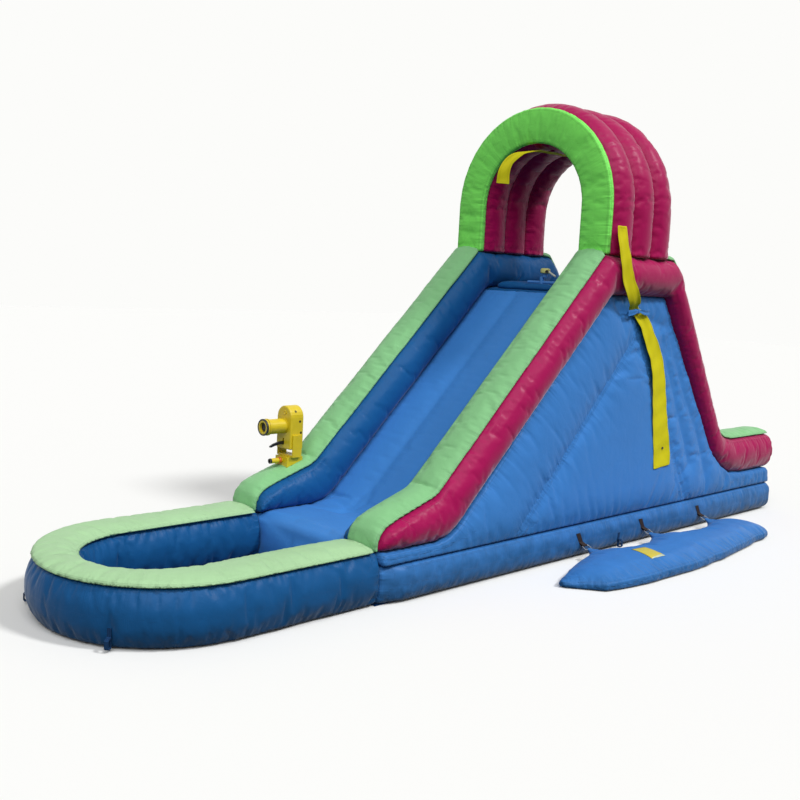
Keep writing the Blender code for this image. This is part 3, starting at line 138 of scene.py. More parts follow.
# Hose sleeves: places along them and their flat width
OUTER_SLEEVE = (
    (0.6970, 0.520, 2.110, 0.100), (0.7070, 0.522, 2.040, 0.102), (0.7225, 0.560, 1.886, 0.120),
    (0.7230, 0.600, 1.781, 0.126), (0.7120, 0.686, 1.680, 0.104), (0.6840, 0.756, 1.625, 0.088),
    (0.6540, 0.794, 1.596, 0.076), (0.6460, 0.826, 1.575, 0.066), (0.6460, 0.876, 1.545, 0.088),
    (0.6490, 0.938, 1.500, 0.116), (0.6575, 1.012, 1.391, 0.136), (0.6655, 1.088, 1.275, 0.140),
    (0.6740, 1.124, 1.158, 0.150), (0.6875, 1.142, 0.985, 0.176), (0.6985, 1.163, 0.802, 0.190),
    (0.7045, 1.183, 0.683, 0.198), (0.7085, 1.195, 0.600, 0.206), (0.7120, 1.202, 0.506, 0.216),
)
INNER_SLEEVE = (
    (0.0, 1.120, 2.6080, 0.066), (0.0, 1.000, 2.6080, 0.068), (0.0, 0.800, 2.6080, 0.068),
    (0.0, 0.620, 2.6060, 0.066), (-0.018, 0.480, 2.5980, 0.062), (-0.064, 0.392, 2.5720, 0.058),
    (-0.103, 0.334, 2.5200, 0.062), (-0.117, 0.306, 2.4500, 0.078), (-0.120, 0.302, 2.3700, 0.088),
)
SLEEVE_THICKNESS = 0.004
SLEEVE_WAVE = 0.006
KEEPER_THICKNESS = 0.0025
TAIL_WAVE = 0.003
LEFT_TAIL = (
    (0.668, 0.820, 1.577, 0.014), (0.673, 0.790, 1.573, 0.028), (0.669, 0.755, 1.566, 0.036),
    (0.664, 0.716, 1.562, 0.040),
)
RIGHT_TAIL = (
    (0.668, 0.838, 1.577, 0.014), (0.674, 0.870, 1.572, 0.028), (0.670, 0.915, 1.567, 0.036),
    (0.662, 0.970, 1.570, 0.040),
)
EYELET = (0.7090, 1.199, 0.640)
KEEPER_LOOP = (
    (0.6580, 0.826, 1.576, 0.030), (0.6575, 0.795, 1.575, 0.030), (0.6500, 0.784, 1.575, 0.030),
    (0.6400, 0.783, 1.575, 0.030), (0.6320, 0.790, 1.575, 0.030), (0.6300, 0.826, 1.575, 0.030),
    (0.6320, 0.862, 1.575, 0.030), (0.6400, 0.869, 1.575, 0.030), (0.6500, 0.868, 1.575, 0.030),
    (0.6575, 0.857, 1.575, 0.030), (0.6580, 0.826, 1.576, 0.030),
)
KNOT_PLACE = (0.664, 0.828, 1.576)

# Bare label on the ballast bag: middle, size and turn
LABEL_PLACE = (1.112, 0.455)
LABEL_SIZE = (0.165, 0.120)
LABEL_TURN = math.radians(-8)
LABEL_DROP = 0.3
LABEL_THICKNESS = 0.0015
PALE_END = 0.40

# Turned fittings: rings with their wall, and round heads with a middle that is sunk
Ring = namedtuple("Ring", "radius length wall")
Head = namedtuple("Head", "radius length sink")
KNOT = Ring(0.010, 0.026, 0.007)
EYE = Head(0.009, 0.004, 0.002)
MUZZLE = Ring(0.0515, 0.012, 0.010)
BARREL_BAND = Ring(0.0518, 0.010, 0.004)
COLLAR = Ring(0.021, 0.016, 0.006)
NECK = Ring(0.016, 0.030, 0.008)
ARM = Ring(0.007, 0.076, 0.003)
SCREW = Head(0.0075, 0.003, 0.0015)
NOZZLE = Head(0.038, 0.010, 0.006)
BOSS = Head(0.014, 0.008, 0.003)
HOLE = Head(0.011, 0.008, 0.004)
RING_SIDES = 40
CAP_SIDES = 32
HEAD_SIDES = 20
SMOOTH_ANGLE = math.radians(35)
# Least cosine of a face that looks along a direction
FACING = 0.9
UPRIGHT = (0, 0, 0)

# Water cannon: screws as places along the slide and heights
CANNON_X = -0.529
SCREW_PLACES = ((-1.098, 0.868), (-1.070, 0.806), (-1.060, 0.736), (-1.060, 0.660))
SCREW_DROP = 0.2
MUZZLE_PLACE = (-0.529, -1.296, 0.7748)
NOZZLE_PLACE = (-0.529, -1.280, 0.7748)
BAND_PLACE = (-0.529, -1.270, 0.7748)
BOSS_START = (-0.520, -1.400, 0.858)
COLLAR_PLACE = (-0.529, -1.166, 0.5618)

# Sprinkler's head: where it stands on its bar, and its pieces above that place
HEAD_PLACE = (0.024, 0.640)
HEAD_FACING = (0.80, -0.60, 0.0)
NECK_RISE = 0.008
CAP_RISE = 0.036
HOLE_RISE = 0.034
ARM_OFF = (0.056, 0, 0.020)
ARM_TURN = (0, math.radians(118), 0)
Cap = namedtuple("Cap", "radius length inset dome edge")
CAP = Cap(0.034, 0.030, 0.014, 0.006, 0.008)

# Pitches of weave and ribs, and rows of thread beside a seam
WEAVE_PITCH = 0.006
RIB_PITCH = 0.005
STITCH_ROWS = (0.009, 0.015)
STITCH_SPREAD = 0.02
STITCH_DARK = 0.30

# Turns of the lamps, in degrees, and how far the floor lies under the ground
BACK_TURN = (42, 0, 120)
FILL_TURN = (42, 0, 48)
FLOOR_DROP = 0.001

# Camera that took the photograph, in the slide's own frame
CAMERA_PLACE = (4.353, -4.954, 1.726)
CAMERA_AZIMUTH = math.radians(45.46)
CAMERA_DIP = math.radians(6.99)
CAMERA_ROLL = math.radians(2.99)
FOCAL_PIXELS = 1011.7
PHOTO_PIXELS = 800
SENSOR = 36.0


def sized(name, text, value, unit="LENGTH"):
    """Returns a named number property."""
    return bpy.props.FloatProperty(name=name, description=text, default=value, unit=unit)


def hex_linear(code):
    """Turns an sRGB hex colour into linear red, green and blue."""
    parts = [int(code[start:start + 2], 16) / 255 for start in (0, 2, 4)]
    return tuple(
        part / 12.92 if part <= 0.04045 else ((part + 0.055) / 1.055) ** 2.4 for part in parts
    )


def tinted(name, text, code):
    """Returns a named colour property."""
    return bpy.props.FloatVectorProperty(
        name=name, description=text, default=hex_linear(code), subtype="COLOR", size=3,
        min=0.0, max=1.0,
    )


class SlideColours(bpy.types.PropertyGroup):
    """Colours of the slide's fabrics, straps and plastics."""

    blue: tinted("Blue", "Coated nylon of the lane, the panels and the bag", "3E7FC8")
    # The deep blue is the blue painted darker, for the shade on the inner rolls, deck and pool
    deep_blue: tinted("Deep blue", "Coated nylon of the inner rolls, deck and pool", "17568F")
    green: tinted("Green", "Coated nylon of the flat bands and the rim", "86C288")
    # The rim's green is the bands' nylon painted paler, for the light that falls on the rim's top
    lit_rim_green: tinted("Lit rim green", "The same nylon on the rim, painted paler for the light on its top", "A4CA9B")
    # The face's green is the same nylon painted brighter, to make up for light that the face does not
    # get
    brightened_face_green: tinted("Face green", "Coated nylon of the arch's face", "88F46C")
    magenta: tinted("Magenta", "Coated nylon of the outer rolls and the tunnel", "A40952")
    yellow: tinted("Yellow", "Fabric of the hose sleeves", "D6CB1E")
    underside: tinted("Underside", "Heavy sheet under the slide", "1B3F7C")
    webbing: tinted("Webbing", "Woven straps of the bag and the climb", "2E2421")
    anchors: tinted("Anchors", "Woven loops for ground stakes", "10335A")
    plastic: tinted("Plastic", "Moulded water cannon", "D8BE1C")


class SlideCloth(bpy.types.PropertyGroup):
    """How the cloth behaves when it is blown up."""

    stiffness: sized("Stiffness", "How hard the cloth is to stretch or press", 15.0, "NONE")
    bending: sized("Bending", "How hard the cloth is to fold", 0.5, "NONE")


class SlideStage(bpy.types.PropertyGroup):
    """Floor, light and background."""

    floor_size: sized("Floor size", "Side of the square floor", 60.0)
    floor_colour: tinted("Floor", "Colour of the pale floor", "F2F2F0")
    back_colour: tinted("Background", "Colour of the plain background", "FCFCFA")
    ground_colour: tinted("Ground", "What the floor gives back to the slide", "33463A")
    sky: sized("Sky", "Strength of the even light from all round", 0.23, "NONE")
    sun: sized("Sun", "Strength of the lamp behind the slide", 1.7, "NONE")
    sun_spread: sized("Sun spread", "Angle that this lamp covers", math.radians(9), "ROTATION")
    fill: sized("Fill", "Strength of the broad lamp in front of the slide", 2.0, "NONE")
    fill_spread: sized("Fill spread", "Angle that this lamp covers", math.radians(50), "ROTATION")


def show_only(*items):
    """Makes these the only selected objects, the last one active."""
    bpy.ops.object.select_all(action="DESELECT")
    for item in items:
        item.select_set(True)
        bpy.context.view_layer.objects.active = item


def new_object(name, mesh):
    """Puts a mesh in the scene."""
    item = bpy.data.objects.new(name, mesh)
    bpy.context.scene.collection.objects.link(item)
    return item


def added(name):
    """Names the primitive that was just added and puts its place into its mesh."""
    item = bpy.context.object
    item.name = name
    bpy.ops.object.transform_apply(location=True, rotation=True, scale=True)
    return item


def apply_step(item, name, kind, **settings):
    """Adds a modifier and applies it."""
    show_only(item)
    step = item.modifiers.new(name, kind)
    for key, value in settings.items():
        setattr(step, key, value)
    bpy.ops.object.modifier_apply(modifier=step.name)


def merged_copy(node):
    """Returns a CAD node's mesh as one closed net."""
    work = bmesh.new()
    work.from_mesh(frame["nodes"][node].data)
    bmesh.ops.remove_doubles(work, verts=work.verts, dist=MERGE)
    return work


def seam_points(work, spacing):
    """Returns points along the sharp edges, where the real one is sewn."""
    points = []
    for edge in work.edges:
        if len(edge.link_faces) == 2 and edge.calc_face_angle(0) > SHARP:
            points += spaced(edge.verts[0].co, edge.verts[1].co, spacing)
    return points


def fold_points(work, folds, drop, spacing):
    """Returns points of fold lines that are dropped onto a form along a direction."""
    tree = BVHTree.FromBMesh(work)
    drop = Vector(drop)
    points = []
    for fold in folds:
        for start, end in zip(fold, fold[1:]):
            for place in spaced(Vector(start), Vector(end), spacing):
                hit = tree.ray_cast(place - drop, drop)[0]
                if hit is not None:
                    points.append(hit)
    return points


def spaced(start, end, spacing):
    """Returns points along a straight line."""
    count = max(1, int((end - start).length / spacing))
    return [start.lerp(end, step / count) for step in range(count + 1)]


def coordinates(mesh):
    """Returns a mesh's points as rows."""
    points = np.zeros(len(mesh.vertices) * 3)
    mesh.vertices.foreach_get("co", points)
    return points.reshape(-1, 3)


def put_coordinates(mesh, points):
    """Writes rows of points back to a mesh."""
    mesh.vertices.foreach_set("co", points.ravel())
    mesh.update()


def touching(points, node):
    """Says which points lie against another CAD node."""
    held = np.zeros(len(points), bool)
    for other in frame["nodes"]:
        low, high = (np.array(corner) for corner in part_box(other))
        inside = np.all((points > low - CONTACT) & (points < high + CONTACT), axis=1)
        if other == node or not inside.any():
            continue
        work = merged_copy(other)
        tree = BVHTree.FromBMesh(work)
        work.free()
        for index in np.nonzero(inside & ~held)[0]:
            held[index] = tree.find_nearest(points[index], CONTACT)[0] is not None
    return held


def nearest(points, lines):
    """Returns the nearest of some places to each point, and its distance."""
    if not lines:
        return points, np.ones(len(points))
    tree = KDTree(len(lines))
    for index, place in enumerate(lines):
        tree.insert(place, index)
    tree.balance()
    found = [tree.find(point) for point in points]
    return np.array([place for place, _, _ in found]), np.array([away for _, _, away in found])


def store(mesh, name, values):
    """Keeps one number or place for each point of a mesh."""
    if values.ndim == 1:
        mesh.attributes.new(name, "FLOAT", "POINT").data.foreach_set("value", values)
    else:
        layer = mesh.attributes.new(name, "FLOAT_VECTOR", "POINT")
        layer.data.foreach_set("vector", values.ravel())


def cloth_copy(work, node):
    """Turns a net into the piece of cloth that stands for a node."""
    mesh = bpy.data.meshes.new(node + "_cloth")
    work.to_mesh(mesh)
    work.free()
    return new_object(node + "_cloth", mesh)


def soft_form(node, puff, folds=(), drop=(0, 0, -1)):
    """Copies a CAD node's shape, sews it along its edges and folds, and blows it up."""
    work = merged_copy(node)
    spacing = puff.cell * SEAM_REACH
    seams = seam_points(work, spacing)
    creases = fold_points(work, folds, drop, spacing)
    item = cloth_copy(work, node)
    apply_step(item, "net", "REMESH", mode="VOXEL", voxel_size=puff.cell)
    before = coordinates(item.data)
    held = touching(before, node)
    apply_step(item, "soften", "SMOOTH", factor=0.5, iterations=SOFTEN_STEPS)
    points = coordinates(item.data)
    points[held] = before[held]
    put_coordinates(item.data, points)
    sewn_at, away = nearest(points, seams)
    held |= nearest(points, seams + creases)[1] < spacing
    swell(item, held, puff)
    store(item.data, "seam", np.exp(-away / SEAM_FADE))
    store(item.data, "sewn_at", sewn_at)
    item.data.shade_smooth()
    return item


def swell(item, held, puff):
    """Blows the free cloth of a form up by simulation and caps how far it moves."""
    mesh = item.data
    points = coordinates(mesh)
    faces = [tuple(face.vertices) for face in mesh.polygons]
    faces = [face for face in faces if not all(held[index] for index in face)]
    used = sorted({index for face in faces for index in face})
    place = {index: row for row, index in enumerate(used)}
    patch_mesh = bpy.data.meshes.new("patch")
    patch_mesh.from_pydata(
        points[used].tolist(), [], [[place[index] for index in face] for face in faces]
    )
    patch = new_object("patch", patch_mesh)
    show_only(patch)
    pins = patch.vertex_groups.new(name="pins")
    pins.add([row for row, index in enumerate(used) if held[index]], 1.0, "REPLACE")
    cloth = patch.modifiers.new("cloth", "CLOTH")
    settings = cloth.settings
    wanted = bpy.context.scene.slide_cloth
    settings.quality = CLOTH_QUALITY
    settings.use_pressure = True
    settings.uniform_pressure_force = puff.pressure
    settings.effector_weights.gravity = 0
    settings.vertex_group_mass = pins.name
    settings.shrink_min = -puff.spare
    settings.tension_stiffness = wanted.stiffness
    settings.compression_stiffness = wanted.stiffness
    settings.bending_stiffness = wanted.bending
    cloth.collision_settings.use_collision = False
    cloth.point_cache.frame_start = 1
    cloth.point_cache.frame_end = puff.steps
    for step in range(1, puff.steps + 1):
        bpy.context.scene.frame_set(step)
    bpy.ops.object.modifier_apply(modifier=cloth.name)
    moves = coordinates(patch.data) - points[used]
    lengths = np.maximum(np.linalg.norm(moves, axis=1), 1e-9)
    share = puff.reach * np.tanh(lengths / puff.reach) / lengths
    rest = points[:, 2].min()
    points[used] += moves * share[:, None]
    if rest < LYING:
        points[:, 2] = np.maximum(points[:, 2], rest)
    put_coordinates(mesh, points)
    bpy.data.objects.remove(patch)
    bpy.context.scene.frame_set(1)


def mirrored(item, name):
    """Returns the same piece for the other side of the slide."""
    mesh = item.data.copy()
    mesh.transform(Matrix.Scale(-1, 4, (1, 0, 0)))
    mesh.flip_normals()
    return new_object(name, mesh)


def flat_grid(name, across, along):
    """Adds a flat grid one metre each way, whose points are then laid where the cloth goes."""
    bpy.ops.object.select_all(action="DESELECT")
    bpy.ops.mesh.primitive_grid_add(x_subdivisions=across, y_subdivisions=along, size=1)
    return added(name)


def smooth_route(stations, shares):
    """Returns places and widths at shares of a smooth line through a route's stations."""
    rows = np.array(stations)
    steps = np.linalg.norm(np.diff(rows[:, :3], axis=0), axis=1)
    reach = np.concatenate([[0], np.cumsum(steps)])
    slope = np.gradient(rows, reach, axis=0)
    where = np.clip(shares, 0, 1) * reach[-1]
    left = np.clip(np.searchsorted(reach, where, side="right") - 1, 0, len(steps) - 1)
    gap = steps[left]
    part = ((where - reach[left]) / gap)[:, None]
    gap = gap[:, None]
    return (
        rows[left] * (2 * part**3 - 3 * part**2 + 1)
        + slope[left] * gap * (part**3 - 2 * part**2 + part)
        + rows[left + 1] * (3 * part**2 - 2 * part**3)
        + slope[left + 1] * gap * (part**3 - part**2)
    ), reach[-1]


def ribbon(name, stations, across, thickness, ripple, cells=(10, 100)):
    """Lays a flat strip of cloth along a route and returns it with its flat width and length."""
    item = flat_grid(name, *cells)
    grid = coordinates(item.data)
    side, share = grid[:, 0], grid[:, 1] + 0.5
    rows, length = smooth_route(stations, share)
    ahead = smooth_route(stations, share + 0.004)[0]
    behind = smooth_route(stations, share - 0.004)[0]
    along = unit_rows(ahead[:, :3] - behind[:, :3])
    marks, ways = zip(*across)
    wide = np.stack([np.interp(share, marks, part) for part in zip(*ways)], axis=1)
    wide = unit_rows(wide - along * np.sum(wide * along, axis=1)[:, None])
    out = np.cross(wide, along)
    width, run = rows[:, 3], share * length
    # Three waves of unlike lengths, so that the cloth doesn't ripple evenly
    wave = ripple * (
        0.5 * np.sin(run / 0.055 + 1.3) * np.cos(math.pi * side)
        + 0.25 * np.sin(run / 0.021 + 2.6 * side) + 0.35 * np.sin(9.0 * side + run / 0.09)
    )
    put_coordinates(item.data, rows[:, :3] + wide * (width * side)[:, None] + out * wave[:, None])
    edge = np.minimum((0.5 - np.abs(side)) * width, np.minimum(run, length - run))
    store(item.data, "seam", np.exp(-edge / SEAM_FADE))
    apply_step(item, "thickness", "SOLIDIFY", thickness=thickness, offset=0)
    apply_step(item, "round", "SUBSURF", levels=1, render_levels=1)
    item.data.shade_smooth()
    return item, (float(width.mean()), float(length))


def unit_rows(rows):
    """Returns rows of directions made one metre long."""
    return rows / np.linalg.norm(rows, axis=1)[:, None]


def cylinder(name, place, size, sides, turn, **settings):
    """Adds a cylinder of a fitting's radius and length."""
    bpy.ops.object.select_all(action="DESELECT")
    bpy.ops.mesh.primitive_cylinder_add(
        vertices=sides, radius=size.radius, depth=size.length, location=place, rotation=turn,
        **settings,
    )
    return added(name)


def ring(name, place, size, turn=(math.radians(90), 0, 0)):
    """Models a rounded ring about a place, its axis along the slide unless turned."""
    item = cylinder(name, place, size, RING_SIDES, turn, end_fill_type="NOTHING")
    apply_step(item, "wall", "SOLIDIFY", thickness=size.wall, offset=-1)
    apply_step(item, "edge", "BEVEL", width=size.wall * 0.3, segments=3, limit_method="ANGLE")
    apply_angle(item)
    return item


def button(name, place, facing, size):
    """Models a round head with a sunk middle that looks along a direction."""
    facing = Vector(facing).normalized()
    turn = facing.to_track_quat("Z", "Y").to_euler()
    item = cylinder(name, place, size, HEAD_SIDES, turn)
    open_faces(item, facing)
    bpy.ops.mesh.inset(thickness=size.radius * 0.4)
    bpy.ops.mesh.extrude_region_move(TRANSFORM_OT_translate={"value": facing * -size.sink})
    bpy.ops.object.mode_set(mode="OBJECT")
    apply_step(item, "edge", "BEVEL", width=size.radius * 0.1, segments=2, limit_method="ANGLE")
    apply_angle(item)
    return item


def apply_angle(item):
    """Shades a moulded piece smooth but for its sharp edges."""
    show_only(item)
    bpy.ops.object.shade_smooth_by_angle(angle=SMOOTH_ANGLE)


def open_faces(item, facing):
    """Opens a piece for editing with only the faces selected that look along a direction."""
    show_only(item)
    bpy.ops.object.mode_set(mode="EDIT")
    bpy.ops.mesh.select_mode(type="FACE")
    bpy.ops.mesh.select_all(action="DESELECT")
    work = bmesh.from_edit_mesh(item.data)
    for face in work.faces:
        if face.normal.dot(facing) > FACING:
            face.select_set(True)
    bmesh.update_edit_mesh(item.data)


def dropped(node, start, drop):
    """Returns where a line from a place meets a CAD node, and which way it faces there."""
    work = merged_copy(node)
    place, facing = BVHTree.FromBMesh(work).ray_cast(Vector(start), Vector(drop))[:2]
    work.free()
    return place, facing


def lay_sheet(node, finish, slot, held):
    """Copies a thin CAD node as a sheet of cloth."""
    work = merged_copy(node)
    low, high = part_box(node)
    area = work.calc_volume() / min(high - low)
    item = cloth_copy(work, node)
    dress(item, node, finish, slot)


def inflate(node, puff, finish, slot, fill=FIRM, folds=(), drop=(0, 0, -1)):
    """Blows up a CAD node's form, and mirrors one of the right side for the left."""
    pieces = {node: soft_form(node, puff, folds, drop)}
    if node.endswith("_right"):
        other = node.replace("_right", "_left")
        pieces[other] = mirrored(pieces[node], other + "_cloth")
    for name, piece in pieces.items():
        dress(piece, name, finish, slot, fill)


def dress(item, node, finish, slot, fill=None):
    """Gives a piece its finish and its body, and hides the CAD node that it stands for."""
    fit(item, frame["nodes"][node]["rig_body"], finish, slot)
    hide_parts(node)


def fit(item, body, finish, slot):
    """Gives a piece its finish and the body that it rides on."""
    finish_mesh(item.data, finish)
    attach(item, body)


def finish_mesh(mesh, finish):
    """Gives a mesh one finish and no other."""
    mesh.materials.clear()
    mesh.materials.append(slide_materials()[finish])


def finish_nodes(finish, *starts):
    """Gives CAD nodes whose shape is right, named by how they start, a better finish."""
    for node, item in frame["nodes"].items():
        if node.startswith(starts):
            finish_mesh(item.data, finish)


def add_node(tree, kind, sockets=None, **settings):
    """Adds a shader node with its settings, its values and its links."""
    node = tree.nodes.new("ShaderNode" + kind)
    for name, value in settings.items():
        setattr(node, name, value)
    for name, value in (sockets or {}).items():
        if isinstance(value, tuple) and hasattr(value[0], "outputs"):
            tree.links.new(value[0].outputs[value[1]], node.inputs[name])
        else:
            node.inputs[name].default_value = value
    return node


def new_material(name):
    """Returns a material's tree and its shader, without other nodes."""
    material = bpy.data.materials.new(name)
    material.use_nodes = True
    tree = material.node_tree
    return material, tree, tree.nodes["Principled BSDF"]


def link_finish(tree, shader, tone, polish=None, bump=None):
    """Links a shader to its colour, and to its roughness and bumps where they vary."""
    for socket, node, output in (
        ("Base Color", tone, 2), ("Roughness", polish, 0), ("Normal", bump, 0),
    ):
        if node is not None:
            tree.links.new(node.outputs[output], shader.inputs[socket])


def wave_scale(pitch):
    """Returns the wave texture's scale for bands a real distance apart."""
    return 2 * math.pi / (20 * pitch)


def shaded(colour, share):
    """Returns a colour made lighter or darker, with an alpha."""
    return (*[min(1.0, part * share) for part in colour], 1.0)


def coated_nylon(name, colour, rough=0.42, coat=0.06, sheen=0.10, shade_grime_height=0.15, shade_grime_depth=0.90):
    """Makes woven nylon with a thin plastic coat: soft gloss, ripples, puckers and stitching."""
    material, tree, shader = new_material(name)
    place = add_node(tree, "TexCoord")
    # The weave is under a millimetre; it is drawn at 6 mm so that it shows in the render
    bands = [
        add_node(
            tree, "TexWave",
            {"Vector": (place, "Object"), "Scale": wave_scale(WEAVE_PITCH), "Distortion": 0.6,
             "Detail": 1.0, "Detail Scale": 2.0},
            bands_direction=direction,
        )
        for direction in "XYZ"
    ]
    pair = add_node(tree, "Math", {0: (bands[0], "Fac"), 1: (bands[1], "Fac")}, operation="ADD")
    grid = add_node(tree, "Math", {0: (pair, 0), 1: (bands[2], "Fac")}, operation="ADD")
    # Slack cloth ripples about 90 mm apart
    ripple = add_node(
        tree, "TexNoise",
        {"Vector": (place, "Object"), "Scale": 11.0, "Detail": 3.0, "Roughness": 0.5,
         "Distortion": 0.4},
    )
    # Puckers run away from a seam about 40 mm apart, so they are read at the nearest sewn place
    sewn_at = add_node(tree, "Attribute", attribute_name="sewn_at")
    gather = add_node(
        tree, "TexNoise",
        {"Vector": (sewn_at, "Vector"), "Scale": 26.0, "Detail": 2.0, "Roughness": 0.55},
    )
    seam = add_node(tree, "Attribute", attribute_name="seam")
    pucker = add_node(tree, "Math", {0: (gather, "Fac"), 1: (seam, "Fac")}, operation="MULTIPLY")
    # Dye and handling vary the colour over a few hand's widths
    cloud = add_node(
        tree, "TexNoise",
        {"Vector": (place, "Object"), "Scale": 2.2, "Detail": 4.0, "Roughness": 0.6},
    )
    cloth = add_node(
        tree, "Mix",
        {0: (cloud, "Fac"), 6: shaded(colour, 0.90), 7: shaded(colour, 1.09)}, data_type="RGBA",
    )
    # Two rows of thread run beside each seam, 9 and 15 mm from it
    rows = [
        add_node(
            tree, "Math",
            {0: (seam, "Fac"), 1: math.exp(-row / SEAM_FADE), 2: STITCH_SPREAD},
            operation="COMPARE",
        )
        for row in STITCH_ROWS
    ]
    rows = add_node(tree, "Math", {0: (rows[0], 0), 1: (rows[1], 0)}, operation="ADD")
    thread = add_node(tree, "Math", {0: (rows, 0), 1: STITCH_DARK}, operation="MULTIPLY")
    sewn = add_node(
        tree, "Mix", {0: (thread, 0), 6: (cloth, 2), 7: shaded(colour, 0.35)},
        data_type="RGBA",
    )
    # Painted shade, with some damp grime, darkens it towards the ground
    height = add_node(tree, "SeparateXYZ", {0: (place, "Object")})
    low = add_node(
        tree, "MapRange",
        {"Value": (height, "Z"), "From Min": 0.0, "From Max": shade_grime_height, "To Min": shade_grime_depth, "To Max": 0.0},
    )
    shade_and_grime = add_node(tree, "Math", {0: (low, 0), 1: (ripple, "Fac")}, operation="MULTIPLY")
    # The dark teal that it turns to near the ground is painted shade and some grime
    worn = add_node(
        tree, "Mix", {0: (shade_and_grime, 0), 6: (sewn, 2), 7: shaded(hex_linear("0A2E46"), 1)},
        data_type="RGBA",
    )
    polish = add_node(
        tree, "MapRange",
        {"Value": (cloud, "Fac"), "To Min": rough - 0.05, "To Max": rough + 0.07},
    )
    bump = None
    for height, output, strength, depth in (
        (grid, 0, 0.12, 0.0006), (ripple, "Fac", 0.25, 0.015), (pucker, 0, 0.7, 0.024),
    ):
        sockets = {"Height": (height, output), "Strength": strength, "Distance": depth}
        if bump is not None:
            sockets["Normal"] = (bump, 0)
        bump = add_node(tree, "Bump", sockets)
    link_finish(tree, shader, worn, polish, bump)
    shader.inputs["IOR"].default_value = 1.50
    shader.inputs["Specular IOR Level"].default_value = 0.08
    shader.inputs["Coat Weight"].default_value = coat
    shader.inputs["Coat Roughness"].default_value = 0.32
    shader.inputs["Sheen Weight"].default_value = sheen
    shader.inputs["Sheen Roughness"].default_value = 0.35
    return material


def woven_webbing(name, colour):
    """Makes polyester webbing: matt ribs across the strap, fuzzed and dusty on their tops."""
    material, tree, shader = new_material(name)
    place = add_node(tree, "TexCoord")
    # The ribs of 40 mm webbing are 1.5 mm apart; they are drawn at 5 mm so that they show
    ribs = [
        add_node(
            tree, "TexWave",
            {"Vector": (place, "Object"), "Scale": wave_scale(RIB_PITCH), "Distortion": 0.3},
            bands_direction=direction,
        )
        for direction in "YZ"
    ]
    weave = add_node(tree, "Math", {0: (ribs[0], "Fac"), 1: (ribs[1], "Fac")},
                     operation="MULTIPLY")
    fuzz = add_node(
        tree, "TexNoise",
        {"Vector": (place, "Object"), "Scale": 90.0, "Detail": 3.0, "Roughness": 0.6},
    )
    worn = add_node(tree, "Math", {0: (weave, 0), 1: (fuzz, "Fac")}, operation="MULTIPLY")
    tone = add_node(
        tree, "Mix", {0: (worn, 0), 6: shaded(colour, 0.8), 7: shaded(colour, 2.6)},
        data_type="RGBA",
    )
    bump = add_node(tree, "Bump",
                    {"Height": (weave, 0), "Strength": 0.6, "Distance": 0.0015})
    link_finish(tree, shader, tone, bump=bump)
    shader.inputs["Roughness"].default_value = 0.82
    shader.inputs["Specular IOR Level"].default_value = 0.2
    return material


def moulded_abs(name, colour, rough):
    """Makes injection moulded ABS: even gloss, a fine spark grain and handled patches."""
    material, tree, shader = new_material(name)
    place = add_node(tree, "TexCoord")
    # Spark grain is 0.2 mm; it is drawn at 4 mm so that it shows in the render
    grain = add_node(
        tree, "TexNoise",
        {"Vector": (place, "Object"), "Scale": 240.0, "Detail": 2.0, "Roughness": 0.5},
    )
    # Hands polish it in patches of about 50 mm
    patch = add_node(
        tree, "TexNoise",
        {"Vector": (place, "Object"), "Scale": 20.0, "Detail": 3.0, "Roughness": 0.5},
    )
    tone = add_node(
        tree, "Mix",
        {0: (patch, "Fac"), 6: shaded(colour, 0.88), 7: shaded(colour, 1.08)}, data_type="RGBA",
    )
    polish = add_node(
        tree, "MapRange",
        {"Value": (patch, "Fac"), "To Min": rough - 0.06, "To Max": rough + 0.08},
    )
    bump = add_node(tree, "Bump",
                    {"Height": (grain, "Fac"), "Strength": 0.2, "Distance": 0.0008})
    link_finish(tree, shader, tone, polish, bump)
    return material


def zinc_steel(name, colour):
    """Makes zinc plated steel: dull silver with a cloudy, slightly scratched plating."""
    material, tree, shader = new_material(name)
    place = add_node(tree, "TexCoord")
    # Plating clouds over about 10 mm
    cloud = add_node(
        tree, "TexNoise",
        {"Vector": (place, "Object"), "Scale": 100.0, "Detail": 4.0, "Roughness": 0.6},
    )
    tone = add_node(
        tree, "Mix",
        {0: (cloud, "Fac"), 6: shaded(colour, 0.7), 7: shaded(colour, 1.1)}, data_type="RGBA",
    )
    polish = add_node(tree, "MapRange",
                      {"Value": (cloud, "Fac"), "To Min": 0.28, "To Max": 0.50})
    link_finish(tree, shader, tone, polish)
    shader.inputs["Metallic"].default_value = 1.0
    return material


def blank_label(name):
    """Makes a bare vinyl label: printed flat yellow with a narrow pale end, rubbed by use."""
    material, tree, shader = new_material(name)
    place = add_node(tree, "TexCoord")
    across = add_node(tree, "SeparateXYZ", {0: (place, "Object")})
    edge = LABEL_PLACE[0] + PALE_END * LABEL_SIZE[0]
    end = add_node(tree, "MapRange",
                   {"Value": (across, "X"), "From Min": edge, "From Max": edge + 0.002})
    # Rubbing dulls it in spots of about 20 mm
    rubbed = add_node(
        tree, "TexNoise",
        {"Vector": (place, "Object"), "Scale": 50.0, "Detail": 3.0, "Roughness": 0.6},
    )
    fresh, dull, pale = (shaded(hex_linear(code), 1) for code in ("C9B52C", "DCCB4E", "B9C4A8"))
    print_tone = add_node(tree, "Mix", {0: (rubbed, "Fac"), 6: fresh, 7: dull}, data_type="RGBA")
    tone = add_node(tree, "Mix", {0: (end, 0), 6: (print_tone, 2), 7: pale}, data_type="RGBA")
    link_finish(tree, shader, tone)
    shader.inputs["Roughness"].default_value = 0.38
    return material


